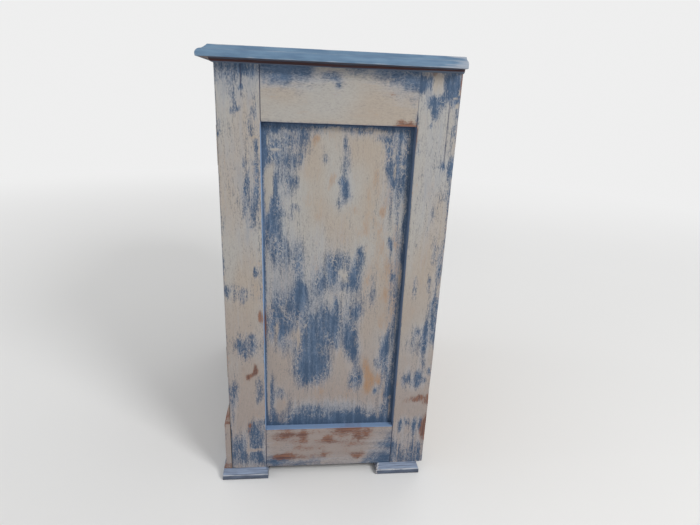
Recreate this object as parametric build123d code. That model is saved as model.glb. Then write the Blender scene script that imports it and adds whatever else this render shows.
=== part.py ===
from build123d import *
import os

# Carcass
body_width = 460.0  # over the outside faces of the two sides
body_depth = 300.0  # front edges to back edges of the sides
carcass_height = 588.0  # bottom of the sides to the underside of the top
side_stock = 20.0
front_stock = 20.0
stile_width = 53.0
side_top_rail_height = 70.0
side_bottom_rail_height = 69.0
side_panel_recess = 10.5  # frame face to panel face, on the outside
side_tenon_length = 30.0
panel_thickness = 6.0
groove_depth = 8.0
panel_slack = 0.6  # room left at the bottom of a groove
joint_fit = 0.1  # clearance on each face of a tenon or a panel edge
tenon_shoulder = 16.0  # solid wood kept beyond a tenon's outer edge
mortise_slack = 1.0  # mortise deeper than its tenon
outer_arris = 1.5  # rounding of the sides' outer corners

# Rails across the cabinet
front_top_rail_height = 40.0
front_bottom_rail_height = 113.0
back_rail_height = 60.0
back_rail_stock = 18.0
stub_length = 10.0  # stub tenon into the side stiles
stub_thickness = 8.0
stub_shoulder = 8.0

# Back boards
board_thickness = 7.0
board_count = 3
rebate_width = 10.0
board_gap = 0.8

# Floor, shelf and cleats
floor_thickness = 16.0
shelf_thickness = 14.0
shelf_height = 236.0  # top of the floor to the top of the shelf
shelf_setback = 40.0  # front of the cabinet to the front of the shelf
shelf_clearance = 0.5  # at each end and at the back
shelf_arris = 2.0
cleat_size = 18.0
shelf_cleat_setback = 24.0

# Top and the moulding strip below it
top_thickness = 14.0
top_front_overhang = 17.5
top_side_overhang = 17.0
nose_height = 3.5
round_inset = 5.6
round_height = 9.0
round_bulge = 0.9
quirk_width = 0.6
bevel_inset = 12.0
bevel_hollow = 0.4
strip_height = 5.0
strip_projection = 4.5
strip_lip = 1.5
strip_foot = 1.0

# Plinth board on the front
plinth_projection = 8.0
plinth_face_height = 82.0
plinth_top_edge = 1.0
plinth_flare = 4.0  # extra projection at the very bottom
plinth_flare_height = 18.0

# Feet
foot_height = 14.0
foot_length = 69.0
foot_side_overhang = 9.5
foot_front_overhang = 13.0
foot_back_inset = 7.0
foot_bevel_height = 6.0
foot_end_bevel = 4.0
foot_front_bevel = 1.0

# Doors, set flush between the sides
door_stock = 19.0
hinge_gap = 1.6
meeting_gap = 2.0
door_top_gap = 1.5
door_bottom_gap = 1.5
door_stile_width = 42.0
door_top_rail_height = 48.0
door_bottom_rail_height = 56.0
door_panel_recess = 9.0
door_tenon_length = 25.0
door_tenon_shoulder = 12.0
stop_depth = 14.0
stop_above = 16.0
stop_below = 10.0

# Butt hinges
hinge_height = 50.0
hinge_inset = 60.0  # door end to the middle of the hinge
leaf_thickness = 1.2
leaf_depth = 17.0
leaf_fit = 0.2
knuckle_count = 5
knuckle_radius = 2.6
knuckle_play = 0.3
pin_radius = 1.2
pin_play = 0.05
pin_head_radius = 2.0
pin_head_height = 0.8
axis_proud = 0.8  # pin centre in front of the door face
barrel_clearance = 0.4  # wood cleared round the barrel
screw_row_low = 9.0  # front face to the outer screws
screw_row_high = 12.0
screw_pitch = 17.0

# Knobs and latch
knob_height = 217.0  # top of the floor to the knob centre
knob_length = 26.0
knob_base_radius = 8.0
knob_base_height = 2.5
knob_neck_radius = 6.0
knob_neck_height = 8.0
knob_head_radius = 12.5
knob_head_height = 18.0
knob_standoff = 0.3
spindle_radius = 3.0
spindle_play = 0.08
spindle_in_knob = 16.0
socket_play = 0.05
tongue_thickness = 2.0
tongue_width = 10.0
tongue_reach = 36.0
tongue_gap = 0.6  # door back to the tongue
rivet_radius = 4.5
rivet_height = 2.0

# Sliding bolt inside the left door
bolt_plate_thickness = 1.5
bolt_plate_width = 20.0
bolt_plate_height = 64.0
bolt_drop = 8.0  # underside of the stop to the top of the plate
bolt_radius = 2.5
bolt_play = 0.06
bolt_standoff = 6.0  # plate face to the bolt's centre
bolt_travel = 12.0
bolt_tip_gap = 2.0
bolt_tail = 12.0
guide_height = 9.0
guide_width = 10.0
guide_wall = 2.5
guide_margin = 2.0
finger_radius = 2.5
finger_length = 7.0
finger_gap = 0.5
bolt_hole_play = 0.6
bolt_hole_spare = 2.0  # hole in the stop deeper than the bolt reaches

# Fasteners: head radius, shank radius, length
wood_screw = (4.0, 2.0, 28.0)
small_screw = (2.7, 1.4, 12.0)
nail_head_radius = 2.0
nail_head_height = 0.8
nail_radius = 0.9
nail_length = 24.0
fastener_play = 0.05
slot_width = 0.8
slot_depth = 0.7
point_length = 2.0
end_distance = 38.0  # cabinet front or back to the end screws of a cleat
inner_distance = 95.0  # cabinet front or back to a cleat's upright screws
foot_screw_setback = 28.0
front_foot_screw_share = 0.7  # of the foot's length, from its outer end
back_foot_screw_shares = (0.2, 0.5)  # of the foot's length, from its back end
stop_screw_shares = (-0.7, 0.25, 0.7)  # of the way from the middle to a side
bolt_screw_share = 0.32  # of the bolt plate's height, from each end
bolt_screw_shift = 1.0  # screws nearer the guides than the middle of the flange
board_nail_shares = (0.25, 0.75)  # of a back board's width
plinth_nail_shares = (-0.35, -0.12, 0.12, 0.35)  # of the body's width, from the middle
plinth_nail_height_share = 0.6  # of the plinth's flat face
screw_point_share = 0.25  # of the shank's radius
overrun = 1.0  # how far a cutting shape runs past what it cuts

# Places worked out from the sizes above
side_face = body_width / 2
inner_face = side_face - side_stock
knob_reach = knob_standoff + knob_length
front_reach = max(knob_reach, top_front_overhang, foot_front_overhang)
front = (front_reach - body_depth) / 2
back = front + body_depth
board_front = back - board_thickness
base = foot_height
carcass_top = base + carcass_height
floor_top = base + front_bottom_rail_height
opening_top = carcass_top - front_top_rail_height
shelf_top = floor_top + shelf_height
door_width = inner_face - hinge_gap - meeting_gap / 2
door_bottom = floor_top + door_bottom_gap
door_height = opening_top - door_top_gap - door_bottom
door_back = front + door_stock
rail_back = front + front_stock
axis_x = inner_face - hinge_gap / 2
axis_y = front - axis_proud
hinge_levels = [door_bottom + hinge_inset, door_bottom + door_height - hinge_inset]
knob_x = (meeting_gap + door_stile_width) / 2
knob_z = floor_top + knob_height
stop_bottom = opening_top - stop_below

parts = {}


def block(x0, x1, y0, y1, z0, z1):
    centre = Pos((x0 + x1) / 2, (y0 + y1) / 2, (z0 + z1) / 2)
    return centre * Box(abs(x1 - x0), abs(y1 - y0), abs(z1 - z0))


def rod(radius, start, direction, length):
    along = Plane(origin=start, z_dir=direction).location
    return along * Cylinder(radius, length, align=(Align.CENTER, Align.CENTER, Align.MIN))


def mirrored(shape):
    return mirror(shape, about=Plane.YZ)


# A frame with a panel in its grooves. x runs across from the first stile, y inwards from the outer face, z up.
def frame_and_panel(width, height, stock, stile, top_rail, bottom_rail, recess, tenon_length, shoulder):
    groove_y = (recess - joint_fit, recess + panel_thickness + joint_fit)
    tenon_y = (recess, recess + panel_thickness)
    groove_low = bottom_rail - groove_depth
    groove_high = height - top_rail + groove_depth
    mortise_depth = tenon_length + mortise_slack

    first = block(0, stile, 0, stock, 0, height)
    first -= block(stile - groove_depth, stile, *groove_y, groove_low, groove_high)
    first -= block(stile - mortise_depth, stile, *groove_y, shoulder - joint_fit, groove_low)
    first -= block(stile - mortise_depth, stile, *groove_y, groove_high, height - shoulder + joint_fit)
    second = Pos(width, 0, 0) * mirrored(first)

    tenon_x = (stile - tenon_length, width - stile + tenon_length)
    bottom = block(stile, width - stile, 0, stock, 0, bottom_rail)
    bottom += block(*tenon_x, *tenon_y, shoulder, groove_low - joint_fit)
    bottom -= block(stile, width - stile, *groove_y, groove_low, bottom_rail)
    top = block(stile, width - stile, 0, stock, height - top_rail, height)
    top += block(*tenon_x, *tenon_y, groove_high + joint_fit, height - shoulder)
    top -= block(stile, width - stile, *groove_y, height - top_rail, groove_high)

    edge = stile - groove_depth + panel_slack
    panel = block(edge, width - edge, *tenon_y, groove_low + panel_slack, groove_high - panel_slack)
    return first, second, top, bottom, panel


def sides():
    pieces = frame_and_panel(body_depth, carcass_height, side_stock, stile_width, side_top_rail_height,
                             side_bottom_rail_height, side_panel_recess, side_tenon_length, tenon_shoulder)
    names = ["front_stile", "back_stile", "top_rail", "bottom_rail", "panel"]
    stand = Pos(side_face, front, base) * Rot(0, 0, 90)
    rebate = block(side_face - rebate_width, inner_face, board_front, back, base, carcass_top)
    for name, piece in zip(names, pieces):
        placed = stand * piece
        if name == "front_stile":
            corner = placed.edges().filter_by(Axis.Z).sort_by_distance((side_face, front, base))[0]
            placed = fillet(corner, outer_arris)
        if name == "back_stile":
            placed -= rebate
            corner = placed.edges().filter_by(Axis.Z).sort_by_distance((side_face, back, base))[0]
            placed = fillet(corner, outer_arris)
        parts["right_side_" + name] = placed


# A rail between the sides with a stub tenon at each end, and the mortises for it.
def cross_rail(name, stile_name, y0, y1, z0, z1, shoulder):
    middle = (y0 + y1) / 2
    half = stub_thickness / 2
    reach = inner_face + stub_length
    rail = block(-inner_face, inner_face, y0, y1, z0, z1)
    rail += block(-reach, reach, middle - half, middle + half, z0 + shoulder, z1 - shoulder)
    parts[name] = rail
    mortise = block(inner_face, reach + joint_fit, middle - half - joint_fit, middle + half + joint_fit,
                    z0 + shoulder - joint_fit, z1 - shoulder + joint_fit)
    parts["right_side_" + stile_name] -= mortise


def rails():
    cross_rail("front_top_rail", "front_stile", front, rail_back, opening_top, carcass_top, stub_shoulder)
    cross_rail("front_bottom_rail", "front_stile", front, rail_back, base, floor_top, tenon_shoulder)
    cross_rail("back_rail", "back_stile", board_front - back_rail_stock, board_front,
               carcass_top - back_rail_height, carcass_top, tenon_shoulder)


def back_boards():
    reach = side_face - rebate_width - board_gap
    pitch = (2 * reach + board_gap) / board_count
    for index in range(board_count):
        left = -reach + index * pitch
        parts["back_board_%d" % (index + 1)] = block(left, left + pitch - board_gap, board_front, back,
                                                     base, carcass_top)


def cleat_pair(top, y0, y1):
    right = block(inner_face - cleat_size, inner_face, y0, y1, top - cleat_size, top)
    return Part() + [right, mirrored(right)]


def inside():
    parts["floor_board"] = block(-inner_face, inner_face, rail_back, board_front, floor_top - floor_thickness,
                                 floor_top)
    parts["floor_cleats"] = cleat_pair(floor_top - floor_thickness, rail_back, board_front)
    shelf_end = inner_face - shelf_clearance
    shelf = block(-shelf_end, shelf_end, front + shelf_setback, board_front - shelf_clearance,
                  shelf_top - shelf_thickness, shelf_top)
    nosing = shelf.edges().filter_by(Axis.X).group_by(Axis.Y)[0]
    parts["shelf"] = fillet(nosing, shelf_arris)
    parts["shelf_cleats"] = cleat_pair(shelf_top - shelf_thickness, front + shelf_cleat_setback, board_front)
    parts["top_cleats"] = cleat_pair(carcass_top, rail_back, board_front - back_rail_stock)
    parts["door_stop"] = block(-inner_face, inner_face, rail_back, rail_back + stop_depth, stop_bottom,
                               opening_top + stop_above)


# Waste cut away from the top's edge. The edge runs along x at y = 0, the outside is towards -y.
def edge_waste(length):
    bulge_x = round_inset / 2 - round_bulge
    bulge_z = (nose_height + round_height) / 2 + round_bulge
    hollow_x = (round_inset + quirk_width + bevel_inset) / 2 + bevel_hollow
    hollow_z = (round_height + top_thickness) / 2 - bevel_hollow
    outline = [
        ThreePointArc((0, nose_height), (bulge_x, bulge_z), (round_inset, round_height)),
        Line((round_inset, round_height), (round_inset + quirk_width, round_height)),
        ThreePointArc((round_inset + quirk_width, round_height), (hollow_x, hollow_z), (bevel_inset, top_thickness)),
        Polyline((bevel_inset, top_thickness), (bevel_inset, top_thickness + overrun),
                 (-overrun, top_thickness + overrun), (-overrun, nose_height), (0, nose_height)),
    ]
    face = Plane.YZ * make_face(outline)
    return extrude(face, length / 2, both=True)


def top():
    outer_x = side_face + top_side_overhang
    outer_y = front - top_front_overhang
    board = block(-outer_x, outer_x, outer_y, back, carcass_top, carcass_top + top_thickness)
    board -= Pos(0, outer_y, carcass_top) * edge_waste(2 * (outer_x + overrun))
    side_waste = edge_waste(2 * (back - outer_y + overrun))
    board -= Pos(outer_x, back, carcass_top) * Rot(0, 0, 90) * side_waste
    board -= Pos(-outer_x, back, carcass_top) * Rot(0, 0, -90) * side_waste
    parts["top_board"] = board


# Rounded strip in the corner below the top, mitred at the front corners.
def strips():
    low = carcass_top - strip_height
    outline = [
        Polyline((0, strip_height), (0, 0), (-strip_foot, 0)),
        RadiusArc((-strip_foot, 0), (-strip_projection, strip_height - strip_lip), strip_projection),
        Polyline((-strip_projection, strip_height - strip_lip), (-strip_projection, strip_height),
                 (0, strip_height)),
    ]
    section = Plane.YZ * make_face(outline)
    length = 2 * (body_width + body_depth)
    strip = extrude(section, length / 2, both=True)
    outer_x = side_face + strip_projection
    outer_y = front - strip_projection
    front_plan = Polyline((-side_face, front), (side_face, front), (outer_x, outer_y), (-outer_x, outer_y),
                          (-side_face, front))
    side_plan = Polyline((side_face, front), (outer_x, outer_y), (outer_x, back), (side_face, back),
                         (side_face, front))
    front_block = Pos(0, 0, low) * extrude(make_face(front_plan), strip_height)
    side_block = Pos(0, 0, low) * extrude(make_face(side_plan), strip_height)
    parts["front_moulding"] = (Pos(0, front, low) * strip) & front_block
    parts["right_moulding"] = (Pos(side_face, 0, low) * Rot(0, 0, 90) * strip) & side_block


def plinth():
    flare = plinth_projection + plinth_flare
    middle = (-(plinth_projection + plinth_flare / 3), plinth_flare_height / 2)
    outline = [
        Polyline((-plinth_projection, plinth_flare_height), (-plinth_projection, plinth_face_height),
                 (-plinth_top_edge, front_bottom_rail_height), (0, front_bottom_rail_height), (0, 0), (-flare, 0)),
        ThreePointArc((-flare, 0), middle, (-plinth_projection, plinth_flare_height)),
    ]
    face = Plane.YZ * make_face(outline)
    parts["plinth_board"] = Pos(0, front, base) * extrude(face, body_width / 2, both=True)


def foot(y0, y1, front_bevel, back_bevel):
    outer = side_face + foot_side_overhang
    inner = outer - foot_length
    shoulder = foot_height - foot_bevel_height
    lower = block(inner, outer, y0, y1, 0, shoulder)
    x0, x1 = inner + foot_end_bevel, side_face
    y2, y3 = y0 + front_bevel, y1 - back_bevel
    wide = Pos((inner + outer) / 2, (y0 + y1) / 2, shoulder) * Rectangle(outer - inner, y1 - y0)
    narrow = Pos((x0 + x1) / 2, (y2 + y3) / 2, foot_height) * Rectangle(x1 - x0, y3 - y2)
    return lower + loft([wide.face(), narrow.face()], ruled=True)


def feet():
    start = front - foot_front_overhang
    front_foot = foot(start, start + foot_length, foot_front_bevel, foot_end_bevel)
    end = back - foot_back_inset
    back_foot = foot(end - foot_length, end, foot_end_bevel, foot_end_bevel)
    parts["right_front_foot"] = front_foot
    parts["right_back_foot"] = back_foot


def doors():
    pieces = frame_and_panel(door_width, door_height, door_stock, door_stile_width, door_top_rail_height,
                             door_bottom_rail_height, door_panel_recess, door_tenon_length, door_tenon_shoulder)
    names = ["meeting_stile", "hinge_stile", "top_rail", "bottom_rail", "panel"]
    for name, piece in zip(names, pieces):
        parts["right_door_" + name] = Pos(meeting_gap / 2, front, door_bottom) * piece


# Right-hand hinge leaf. towards is +1 for the frame leaf and -1 for the door leaf.
def hinge_leaf(level, towards, own_knuckles):
    low = level - hinge_height / 2
    pitch = hinge_height / knuckle_count
    near = axis_x + towards * hinge_gap / 2
    far = near + towards * leaf_thickness
    leaf = block(near, far, axis_y, front + leaf_depth, low, low + hinge_height)
    others = [index for index in range(knuckle_count) if index not in own_knuckles]
    for index in others:
        start = (axis_x, axis_y, low + index * pitch - knuckle_play / 2)
        leaf -= rod(knuckle_radius + knuckle_play, start, (0, 0, 1), pitch + knuckle_play)
    for index in own_knuckles:
        start = (axis_x, axis_y, low + index * pitch + knuckle_play / 2)
        leaf += rod(knuckle_radius, start, (0, 0, 1), pitch - knuckle_play)
    leaf -= rod(pin_radius + pin_play, (axis_x, axis_y, low - overrun), (0, 0, 1), hinge_height + 2 * overrun)
    return leaf


def hinge_pin(level):
    low = level - hinge_height / 2
    pin = rod(pin_radius, (axis_x, axis_y, low), (0, 0, 1), hinge_height)
    pin += rod(pin_head_radius, (axis_x, axis_y, low + hinge_height), (0, 0, 1), pin_head_height)
    pin += rod(pin_head_radius, (axis_x, axis_y, low - pin_head_height), (0, 0, 1), pin_head_height)
    return pin


def hinges():
    frame_leaves = []
    door_leaves = []
    pins = []
    half = hinge_height / 2 + leaf_fit
    reach = hinge_height / 2 + pin_head_height + barrel_clearance
    seat_back = front + leaf_depth + leaf_fit
    door_edge = inner_face - hinge_gap
    for level in hinge_levels:
        frame_leaves.append(hinge_leaf(level, 1, range(0, knuckle_count, 2)))
        door_leaves.append(hinge_leaf(level, -1, range(1, knuckle_count, 2)))
        pins.append(hinge_pin(level))
        low, high = level - half, level + half
        frame_seat = block(inner_face, inner_face + leaf_thickness, front, seat_back, low, high)
        door_seat = block(door_edge - leaf_thickness, door_edge, front, seat_back, low, high)
        barrel = rod(knuckle_radius + barrel_clearance, (axis_x, axis_y, level - reach), (0, 0, 1), 2 * reach)
        parts["right_side_front_stile"] -= frame_seat + barrel
        parts["right_door_hinge_stile"] -= door_seat + barrel
    parts["right_hinge_frame_leaves"] = Part() + frame_leaves
    parts["right_door_hinge_leaves"] = Part() + door_leaves
    parts["hinge_pins"] = Part() + pins + [mirrored(pin) for pin in pins]


def left_from_right():
    for name in [key for key in parts if key.startswith("right_")]:
        parts["left_" + name[len("right_"):]] = mirrored(parts[name])


# Turned knob standing on the door face, its head towards the front.
def knob():
    profile = [
        Polyline((0, knob_length), (0, 0), (knob_base_radius, 0), (knob_base_radius, knob_base_height)),
        Spline((knob_base_radius, knob_base_height), (knob_neck_radius, knob_neck_height),
               (knob_head_radius, knob_head_height)),
        TangentArc((0, knob_length), (knob_head_radius, knob_head_height), tangent=(1, 0)),
    ]
    face = Plane.XZ * make_face(profile)
    return Rot(90, 0, 0) * revolve(face, Axis.Z)


def knobs_and_latch():
    turned = knob()
    start = front - knob_standoff
    socket = rod(spindle_radius + socket_play, (0, -spindle_in_knob, 0), (0, 1, 0), spindle_in_knob)
    parts["right_knob"] = Pos(knob_x, start, knob_z) * (turned - socket)
    tongue_y = door_back + tongue_gap
    spindle_end = tongue_y + tongue_thickness
    spindle_start = start - spindle_in_knob
    spindle = rod(spindle_radius, (knob_x, spindle_start, knob_z), (0, 1, 0), spindle_end - spindle_start)
    spindle += rod(rivet_radius, (knob_x, spindle_end, knob_z), (0, 1, 0), rivet_height)
    parts["latch_spindle"] = spindle
    bore = rod(spindle_radius + spindle_play, (knob_x, front - overrun, knob_z), (0, 1, 0), door_stock + 2 * overrun)
    parts["right_door_meeting_stile"] -= bore
    half = tongue_width / 2
    tongue = block(knob_x - half, knob_x + half, tongue_y, spindle_end, knob_z - tongue_reach + half, knob_z)
    tongue += rod(half, (knob_x, tongue_y, knob_z), (0, 1, 0), tongue_thickness)
    tongue += rod(half, (knob_x, tongue_y, knob_z - tongue_reach + half), (0, 1, 0), tongue_thickness)
    tongue -= rod(spindle_radius + socket_play, (knob_x, tongue_y - overrun, knob_z), (0, 1, 0),
                  tongue_thickness + 2 * overrun)
    parts["latch_tongue"] = tongue
    parts["left_knob"] = Pos(-knob_x, front, knob_z) * turned


def sliding_bolt():
    plate_top = stop_bottom - bolt_drop
    plate_bottom = plate_top - bolt_plate_height
    plate_face = door_back + bolt_plate_thickness
    bolt_y = plate_face + bolt_standoff
    half = bolt_plate_width / 2
    plate = block(-knob_x - half, -knob_x + half, door_back, plate_face, plate_bottom, plate_top)
    wall = guide_width / 2
    guide_back = bolt_y + bolt_radius + guide_wall
    lower_guide = plate_bottom + guide_margin
    upper_guide = plate_top - guide_margin - guide_height
    for low in (lower_guide, upper_guide):
        plate += block(-knob_x - wall, -knob_x + wall, plate_face, guide_back, low, low + guide_height)
    plate -= rod(bolt_radius + bolt_play, (-knob_x, bolt_y, plate_bottom - overrun), (0, 0, 1),
                 bolt_plate_height + 2 * overrun)
    parts["bolt_plate"] = plate
    bolt_top = stop_bottom - bolt_tip_gap
    bolt_bottom = lower_guide - bolt_tail
    bolt = rod(bolt_radius, (-knob_x, bolt_y, bolt_bottom), (0, 0, 1), bolt_top - bolt_bottom)
    finger_z = lower_guide + guide_height + finger_gap + finger_radius
    bolt += rod(finger_radius, (-knob_x, bolt_y, finger_z), (0, 1, 0), bolt_radius + finger_length)
    parts["bolt_rod"] = bolt
    hole_depth = bolt_travel - bolt_tip_gap + bolt_hole_spare
    parts["door_stop"] -= rod(bolt_radius + bolt_hole_play, (-knob_x, bolt_y, stop_bottom - overrun), (0, 0, 1),
                              hole_depth + overrun)
    return plate_bottom, plate_top


# A countersunk screw pointing up z, its head's face at z = 0; play makes the hole for it.
def screw_shape(size, play):
    head_radius, shank_radius, length = size
    head = head_radius + play
    shank = shank_radius + play
    rise = head - shank
    shape = Pos(0, 0, rise / 2) * Cone(head, shank, rise)
    shape += rod(shank, (0, 0, 0), (0, 0, 1), length - point_length)
    point = Pos(0, 0, length - point_length / 2) * Cone(shank, shank * screw_point_share, point_length)
    shape += point
    if play == 0:
        shape -= block(-head, head, -slot_width / 2, slot_width / 2, -overrun, slot_depth)
    return shape


def nail_shape(play):
    shape = rod(nail_head_radius + play, (0, 0, 0), (0, 0, 1), nail_head_height + play)
    return shape + rod(nail_radius + play, (0, 0, 0), (0, 0, 1), nail_length + play)


fasteners = {}


def drive(group, size, at, direction, through):
    place = Plane(origin=at, z_dir=direction).location
    if size is None:
        body, hole = nail_shape(0), nail_shape(fastener_play)
    else:
        body, hole = screw_shape(size, 0), screw_shape(size, fastener_play)
    fasteners.setdefault(group, []).append(place * body)
    for name in through:
        parts[name] -= place * hole


def drive_screws():
    cleat_levels = {
        "floor_cleats": floor_top - floor_thickness,
        "shelf_cleats": shelf_top - shelf_thickness,
        "top_cleats": carcass_top,
    }
    fixed_above = {"floor_cleats": "floor_board", "top_cleats": "top_board"}
    ends = [(front + end_distance, "front_stile"), (back - end_distance, "back_stile")]
    uprights = [front + inner_distance, back - inner_distance]
    for name, level in cleat_levels.items():
        for sign, side in ((-1, "left"), (1, "right")):
            for y, stile in ends:
                at = (sign * (inner_face - cleat_size), y, level - cleat_size / 2)
                drive("cleat_screws", wood_screw, at, (sign, 0, 0), [name, side + "_side_" + stile])
            if name in fixed_above:
                for y in uprights:
                    at = (sign * (inner_face - cleat_size / 2), y, level - cleat_size)
                    drive("cleat_screws", wood_screw, at, (0, 0, 1), [name, fixed_above[name]])
    for share in stop_screw_shares:
        at = (share * inner_face, rail_back + stop_depth, opening_top + stop_above / 2)
        drive("cleat_screws", wood_screw, at, (0, -1, 0), ["door_stop", "front_top_rail"])


def drive_foot_screws():
    start = front - foot_front_overhang
    front_rows = [(side_face - side_stock / 2, front + foot_screw_setback, "front_stile"),
                  (side_face + foot_side_overhang - foot_length * front_foot_screw_share, front + front_stock / 2, None)]
    back_y = back - foot_back_inset
    back_rows = [(side_face - side_stock / 2, back_y - foot_length * share, "back_stile")
                 for share in back_foot_screw_shares]
    for sign, side in ((-1, "left"), (1, "right")):
        for x, y, stile in front_rows:
            into = "front_bottom_rail" if stile is None else side + "_side_" + stile
            drive("foot_screws", wood_screw, (sign * x, y, 0), (0, 0, 1), [side + "_front_foot", into])
        for x, y, stile in back_rows:
            drive("foot_screws", wood_screw, (sign * x, y, 0), (0, 0, 1),
                  [side + "_back_foot", side + "_side_" + stile])


def drive_hinge_screws():
    for sign, side in ((-1, "left"), (1, "right")):
        for level in hinge_levels:
            for row in (-1, 0, 1):
                y = front + (screw_row_high if row == 0 else screw_row_low)
                z = level + row * screw_pitch
                drive("hinge_frame_screws", small_screw, (sign * inner_face, y, z), (sign, 0, 0),
                      [side + "_hinge_frame_leaves", side + "_side_front_stile"])
                drive(side + "_door_screws", small_screw, (sign * (inner_face - hinge_gap), y, z), (-sign, 0, 0),
                      [side + "_door_hinge_leaves", side + "_door_hinge_stile"])


def drive_bolt_screws(plate_bottom, plate_top):
    face = door_back + bolt_plate_thickness
    offset = (bolt_plate_width + guide_width) / 4
    from_end = bolt_plate_height * bolt_screw_share
    for side in (-1, 1):
        for z in (plate_bottom + from_end, plate_top - from_end):
            at = (-knob_x + side * (offset - bolt_screw_shift), face, z)
            drive("left_door_screws", small_screw, at, (0, -1, 0),
                  ["bolt_plate", "left_door_meeting_stile", "left_door_top_rail"])
    drive("left_knob_screw", wood_screw, (-knob_x, door_back, knob_z), (0, -1, 0),
          ["left_door_meeting_stile", "left_knob"])


def drive_nails():
    reach = side_face - rebate_width - board_gap
    pitch = (2 * reach + board_gap) / board_count
    for index in range(board_count):
        name = "back_board_%d" % (index + 1)
        for share in board_nail_shares:
            x = -reach + (index + share) * pitch
            drive("nails", None, (x, back, carcass_top - back_rail_height / 2), (0, -1, 0), [name, "back_rail"])
            drive("nails", None, (x, back, floor_top - floor_thickness / 2), (0, -1, 0), [name, "floor_board"])
    face = front - plinth_projection
    height = base + plinth_face_height * plinth_nail_height_share
    for share in plinth_nail_shares:
        drive("nails", None, (share * body_width, face, height), (0, 1, 0), ["plinth_board", "front_bottom_rail"])


def build():
    sides()
    rails()
    back_boards()
    inside()
    top()
    strips()
    plinth()
    feet()
    doors()
    hinges()
    left_from_right()
    knobs_and_latch()
    plate_bottom, plate_top = sliding_bolt()
    drive_screws()
    drive_foot_screws()
    drive_hinge_screws()
    drive_bolt_screws(plate_bottom, plate_top)
    drive_nails()
    for group, shapes in fasteners.items():
        parts[group] = Part() + shapes


build()
os.makedirs("parts", exist_ok=True)
for name, shape in parts.items():
    export_step(shape, "parts/" + name + ".step")
    print(name, len(shape.solids()), round(shape.volume))
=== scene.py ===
import math

import bmesh
import bpy
import numpy as np
from mathutils import Matrix, Vector


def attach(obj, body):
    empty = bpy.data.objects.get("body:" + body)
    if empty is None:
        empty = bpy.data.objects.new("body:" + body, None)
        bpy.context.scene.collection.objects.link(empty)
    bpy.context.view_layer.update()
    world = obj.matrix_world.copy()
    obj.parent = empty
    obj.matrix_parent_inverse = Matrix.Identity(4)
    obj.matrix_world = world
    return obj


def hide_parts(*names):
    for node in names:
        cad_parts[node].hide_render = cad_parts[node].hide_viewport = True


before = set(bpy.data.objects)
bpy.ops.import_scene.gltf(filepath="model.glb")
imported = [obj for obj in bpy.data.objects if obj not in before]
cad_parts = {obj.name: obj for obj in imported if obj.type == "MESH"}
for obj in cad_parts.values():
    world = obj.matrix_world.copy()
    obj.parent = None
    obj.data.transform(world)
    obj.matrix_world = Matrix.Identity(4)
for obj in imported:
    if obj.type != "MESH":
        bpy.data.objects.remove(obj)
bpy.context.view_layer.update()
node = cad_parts
mm = 0.001
perMetre = 1000.0   # millimetres in a metre, because materials read places in metres

# All lengths below are millimetres; x runs to the right, y from the front to the back, z up.
cabinet = {
    "sideFace": 230.0, "innerFace": 210.0, "front": -136.85, "back": 163.15, "depth": 300.0,
    "base": 14.0, "carcassTop": 602.0, "openingTop": 562.0, "stock": 20.0,
}


def stage(text):
    print("stage:", text, flush=True)


class Wire:
    # one socket of a material that can be added, scaled and compared like a number
    def __init__(self, socket):
        self.socket = socket
        self.tree = socket.id_data

    def maths(self, operation, first, second):
        return put(self.tree, "ShaderNodeMath", {"operation": operation}, {0: first, 1: second})

    def __add__(self, other):
        return self.maths("ADD", self, other)

    __radd__ = __add__

    def __mul__(self, other):
        return self.maths("MULTIPLY", self, other)

    __rmul__ = __mul__

    def __sub__(self, other):
        return self.maths("SUBTRACT", self, other)

    def __rsub__(self, other):
        return self.maths("SUBTRACT", other, self)

    def most(self, other):
        return self.maths("MAXIMUM", self, other)

    def between(self, low, high):
        # 0 below low, 1 above high, and an even swell between them
        values = {"Value": self, "From Min": low, "From Max": high}
        return put(self.tree, "ShaderNodeMapRange", {"interpolation_type": "SMOOTHSTEP"}, values)

    def scaled(self, factors):
        return put(self.tree, "ShaderNodeVectorMath", {"operation": "MULTIPLY"}, {0: self, 1: factors})

    def shifted(self, amount):
        return put(self.tree, "ShaderNodeVectorMath", {"operation": "ADD"}, {0: self, 1: amount})

    def measured(self, way):
        # how far along a direction, times its length
        return put(self.tree, "ShaderNodeVectorMath", {"operation": "DOT_PRODUCT"}, {0: self, 1: way}, out=1)


def put(tree, kind, settings, values, out=0):
    made = tree.nodes.new(kind)
    for key, value in settings.items():
        setattr(made, key, value)
    for key, value in values.items():
        if isinstance(value, Wire):
            tree.links.new(value.socket, made.inputs[key])
        else:
            made.inputs[key].default_value = value
    return Wire(made.outputs[out])


def rgba(colour):
    return colour if isinstance(colour, Wire) else (*colour, 1.0)


def blend(tree, share, first, second, mode="MIX"):
    settings = {"data_type": "RGBA", "blend_type": mode}
    return put(tree, "ShaderNodeMix", settings, {0: share, 6: rgba(first), 7: rgba(second)}, out=2)


def place(tree):
    # where on the object, in metres
    return put(tree, "ShaderNodeTexCoord", {}, {}, out=3)


def mark(tree, name):
    # one of a piece's own marks, which run from 0 to 1
    return put(tree, "ShaderNodeAttribute", {"attribute_name": name}, {}, out=2)


# Noise whose lumps measure about the given millimetres along x, y and z.
def noise(tree, at, size, detail, roughness, seed):
    where = at.scaled(tuple(perMetre / s for s in size)).shifted((seed, seed * 1.7, -seed * 0.6))
    values = {"Vector": where, "Scale": 1.0, "Detail": detail, "Roughness": roughness}
    return put(tree, "ShaderNodeTexNoise", {"noise_dimensions": "3D", "noise_type": "FBM"}, values)


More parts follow.
